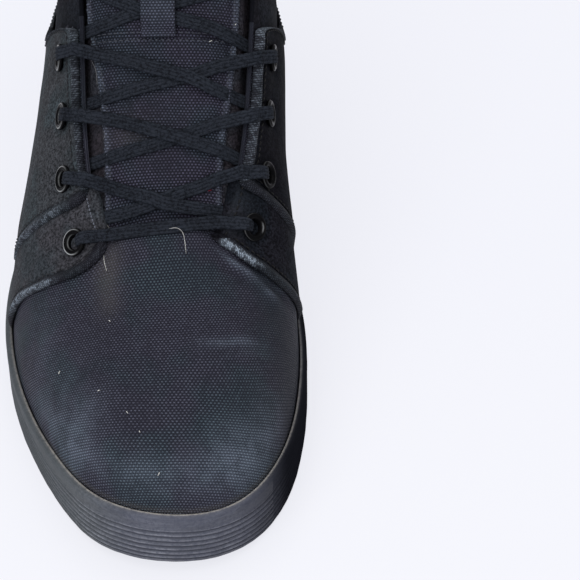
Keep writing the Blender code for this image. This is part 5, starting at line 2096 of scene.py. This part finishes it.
def build_tongue_stitches(thread):
    """Two rows along each of the tongue's ridges, and two across it at its seam."""
    piece = Piece("tongue_stitching", thread)
    for side in (-1, 1):
        for offset in (0.03, -0.028):
            pairs = [
                (station, side * (float(ridge_cross(station, side)) + offset))
                for station in np.linspace(6, 124, 70)
            ]
            stitch_row(piece, *tongue_path(pairs, 0.05), 2.0, 1.4, 0.2, slant=0.1)
    for station in (TONGUE_SEAM_STATION - 1.3, TONGUE_SEAM_STATION + 1.3):
        pairs = [(station, cross) for cross in np.linspace(-0.5, 0.5, 40)]
        stitch_row(piece, *tongue_path(pairs, 0.35), 2.1, 1.5, 0.2, slant=0.1)
    return ride(piece.build())


def hair(piece, places, radius=0.075, slot=0):
    """A fine fibre through (point, normal) places, tapering to its ends."""
    rows = np.array([np.concatenate([p, n]) for p, n in places])
    fine = spline(rows, len(rows) * 8)
    taper = 0.35 + 0.65 * np.sin(math.pi * np.linspace(0.04, 0.96, len(fine))) ** 0.5
    tapers = np.stack([taper, taper], -1)
    sweep(piece, fine[:, :3], fine[:, 3:], circle_section(radius, 5), tapers, slot=slot)


def on_vamp(x, y, lift):
    """The place on the vamp under a point seen from above, with its normal."""
    phi_line = np.linspace(-1.3, 1.3, 141)
    v_line = np.linspace(0.15, 1, 121)
    turn, v = np.meshgrid(np.mod(phi_line, TAU), v_line)
    points = on_upper(turn, v)
    away = np.hypot(points[..., 0] - x, points[..., 1] - y)
    i = np.unravel_index(np.argmin(away), away.shape)
    normal = upper_normal(turn[i], v[i])
    place = points[i] + normal * float(vamp_lift(points[i][None], normal[None, 2])[0])
    place = place + np.array((x - points[i][0], y - points[i][1], 0.0))
    return place + normal * lift, normal


# Threads and flecks on the tongue: finish, radius, height above it, then (station, cross) places.
TONGUE_LINT = (
    (0, 0.05, 1.5, ((20.0, -0.60), (15.5, -0.58), (12.5, -0.54), (8.8, -0.56), (4.2, -0.51), (1.2, -0.48))),
    (0, 0.08, 3.0, ((19.2, 0.78), (20.0, 0.87), (21.5, 0.96))),
    (1, 0.07, 1.2, ((40.2, -0.44), (38.8, -0.43), (37.2, -0.45))),
    (1, 0.07, 1.3, ((67.2, -0.56), (62.8, -0.50), (57.5, -0.49))),
    (0, 0.14, 1.3, ((72.2, 0.26), (72.8, 0.28))),
    (0, 0.12, 1.0, ((75.2, 0.345), (75.8, 0.355))),
    (0, 0.13, 1.0, ((78.9, 0.465), (79.5, 0.475))),
    (0, 0.12, 1.0, ((74.5, 0.485), (75.1, 0.495))),
    (2, 0.17, 1.0, ((14.8, 0.34), (15.5, 0.37))),
)


# On the vamp, seen from above: a curl of hair as (x, y, height over the cloth), a short
# thread, and the middles of the flecks.
VAMP_CURL = (
    (8.2, -56.4, 5.4), (10.8, -56.2, 5.6), (12.8, -56.7, 2.8), (13.6, -59.2, 0.9), (14.1, -63.2, 0.5),
)
VAMP_THREAD = ((-14.3, -61.7), (-13.9, -64.5), (-12.9, -68.3))
VAMP_FLECKS = (
    (-11.1, -87.6), (-28.3, -98.2), (-13.6, -111.7), (-3.9, -120.8), (0.4, -127.0), (6.9, -138.6),
)
VAMP_HAIR_RADIUS = 0.09
FLECK_HALF_LENGTH = 0.42
FLECK_RADIUS = 0.16


def build_lint(white, grey, red):
    """The few hairs, threads and flecks of lint caught on the cloth."""
    piece = Piece("lint", white, grey, red)
    for slot, radius, lift, pairs in TONGUE_LINT:
        hair(piece, [tongue_at(station, cross, lift) for station, cross in pairs], radius, slot)
    hair(piece, [on_vamp(x, y, lift) for x, y, lift in VAMP_CURL], VAMP_HAIR_RADIUS)
    hair(piece, [on_vamp(x, y, 0.25) for x, y in VAMP_THREAD], VAMP_HAIR_RADIUS)
    for x, y in VAMP_FLECKS:
        # Each fleck lies a different way.
        turn = (x * 7.3 + y * 3.1) % math.pi
        dx, dy = FLECK_HALF_LENGTH * math.cos(turn), FLECK_HALF_LENGTH * math.sin(turn)
        places = [on_vamp(x + dx * t, y + dy * t, 0.3 + 0.15 * (1 - t * t)) for t in (-1, 0, 1)]
        hair(piece, places, FLECK_RADIUS)
    return ride(piece.build())


# Setting

FLOOR_REACH = 3.0
SKY_COLOUR = (0.93, 0.95, 1.0, 1.0)
WORLD_STRENGTH = 0.45
# Each soft light, in metres: name, place, aim, size, power, colour.
LIGHTS = (
    ("overhead", (0.1, -0.1, 1.9), (0.0, -0.05, 0.0), (2.4, 2.4), 26.0, (1.0, 0.99, 0.97)),
    ("front", (-0.75, -1.6, 1.1), (0.0, -0.1, 0.05), (1.4, 1.1), 20.0, (0.95, 0.97, 1.0)),
)

# The camera stands in front of the toe, at this distance from the place it looks at.
CAMERA_AIM = (49.8, -12.0, 0.0)
CAMERA_DISTANCE = 818.0
CAMERA_ELEVATION = 44.0
CAMERA_LENS = 132.8
SENSOR_WIDTH = 36.0


def add_area(name, place, aim, size, power, colour):
    """A soft light at a place, in metres, aimed at a point."""
    lamp = bpy.data.lights.new(name, "AREA")
    lamp.shape = "RECTANGLE"
    lamp.size, lamp.size_y = size
    lamp.energy = power
    lamp.color = colour
    made = bpy.data.objects.new(name, lamp)
    made.location = place
    made.rotation_euler = (Vector(aim) - Vector(place)).to_track_quat("-Z", "Y").to_euler()
    bpy.context.scene.collection.objects.link(made)


def build_setting(paper):
    """The floor sheet, the sky and the lights."""
    mesh = bpy.data.meshes.new("floor_sheet")
    corners = [(FLOOR_REACH * x, FLOOR_REACH * y, 0) for x, y in ((-1, -1), (1, -1), (1, 1), (-1, 1))]
    mesh.from_pydata(corners, [], [(0, 1, 2, 3)])
    mesh.materials.append(paper)
    floor = bpy.data.objects.new("floor_sheet", mesh)
    bpy.context.scene.collection.objects.link(floor)

    world = bpy.data.worlds.new("studio")
    world.use_nodes = True
    background = world.node_tree.nodes["Background"]
    background.inputs[0].default_value = SKY_COLOUR
    background.inputs[1].default_value = WORLD_STRENGTH
    bpy.context.scene.world = world
    for light in LIGHTS:
        add_area(*light)


def build_camera():
    lens = bpy.data.cameras.new("camera")
    lens.lens = CAMERA_LENS
    lens.sensor_width = SENSOR_WIDTH
    lens.clip_start, lens.clip_end = 0.05, 50.0
    camera = bpy.data.objects.new("camera", lens)
    rise = math.radians(CAMERA_ELEVATION)
    aim = Vector(CAMERA_AIM) * MM
    camera.location = aim + Vector((0, -math.cos(rise), math.sin(rise))) * CAMERA_DISTANCE * MM
    camera.rotation_euler = (aim - camera.location).to_track_quat("-Z", "Y").to_euler()
    bpy.context.scene.collection.objects.link(camera)
    bpy.context.scene.camera = camera


# Each close-woven cloth: deep colour, pale colour, how mottled, and how much it shines.
# The inner side's cloths are darker, as they look in the shade of the other shoe.
CLOSE_CLOTHS = {
    "cuff_cloth": ((0.0034, 0.0037, 0.0054), (0.017, 0.0185, 0.0255), 0.5, 0.03),
    "gusset_cloth": ((0.0056, 0.0054, 0.0074), (0.043, 0.042, 0.053), 0.5, 0.12),
    "panel_cloth_lateral": ((0.0062, 0.0074, 0.0088), (0.048, 0.058, 0.067), 0.25, 0.12),
    "panel_cloth_medial": ((0.0017, 0.0019, 0.0030), (0.0085, 0.0093, 0.0136), 0.4, 0.03),
    "saddle_cloth_lateral": ((0.0066, 0.0075, 0.0094), (0.049, 0.055, 0.065), 0.25, 0.12),
    "saddle_cloth_medial": ((0.0025, 0.0028, 0.004), (0.014, 0.016, 0.022), 0.4, 0.03),
}
EDGING_CROWN = (0.024, 0.027, 0.038)
TONGUE_DEEP = (0.0122, 0.0132, 0.0205)
TONGUE_CROWN_COLOUR = (0.066, 0.074, 0.108)
THREADS = {
    "grey_thread": (0.016, 0.017, 0.021),
    "black_thread": (0.0032, 0.0030, 0.0036),
    "bead_thread": (0.12, 0.13, 0.16),
    "tongue_thread": (0.055, 0.06, 0.075),
    "white_lint": (0.62, 0.61, 0.58),
    "grey_lint": (0.2, 0.2, 0.21),
    "red_lint": (0.16, 0.008, 0.02),
}


def build_panels(cloths, edging):
    """Both sides' panels. Returns the lines to stitch, each with its thread."""
    seams = []
    for slot, side, side_name in ((0, -1, "lateral"), (1, 1, "medial")):
        front = build_saddle_panel(side, side_name, (cloths[f"saddle_cloth_{side_name}"], edging))
        rear = build_quarter_panel(side, side_name, (cloths[f"panel_cloth_{side_name}"], edging))
        seams += [(slot, *line) for line in front[:-1] + rear]
        # The saddle's own upper edge is worked in pale beads on the outer side.
        seams.append((BEADED if side < 0 else slot, *front[-1]))
    return seams


def main():
    vamp_canvas = canvas_finish("vamp_canvas", CANVAS_DEEP, CANVAS_CROWN, CANVAS_RUBBED)
    edging = canvas_finish(
        "edging_canvas", EDGING_DEEP, EDGING_CROWN, BEADS_RUBBED, (0.66, 0.6), 0.35, 0.4, bias=True
    )
    tongue_canvas = canvas_finish(
        "tongue_canvas", TONGUE_DEEP, TONGUE_CROWN_COLOUR, CANVAS_RUBBED, (1.2, 1.0)
    )
    cloths = {name: smooth_cloth_finish(name, *looks) for name, looks in CLOSE_CLOTHS.items()}
    threads = {name: thread_finish(name, colour) for name, colour in THREADS.items()}
    lining = lining_finish()
    build_upper_shell(vamp_canvas, cloths["cuff_cloth"], lining)
    seams = build_panels(cloths, edging)
    build_seam_stitches(seams, *(threads[name] for name in ("grey_thread", "black_thread", "bead_thread")))
    build_tongue_cloth(tongue_canvas, cloths["gusset_cloth"], lining)
    build_tongue_stitches(threads["tongue_thread"])
    build_lace_pieces(lace_finish())
    build_loop(tongue_canvas)
    build_eyelet_rings(enamel_finish("worn_enamel", 1.0), enamel_finish("black_enamel", 0.8))
    build_sole(rubber_finish(), tread_finish(), rubber_finish("sole_rubber_shaded", 0.0))
    build_tread(tread_finish("lug_rubber"))
    build_footbed(footbed_finish())
    build_lint(*(threads[name] for name in ("white_lint", "grey_lint", "red_lint")))
    build_setting(floor_finish())
    build_camera()
    bpy.context.scene.view_settings.view_transform = "Standard"


main()
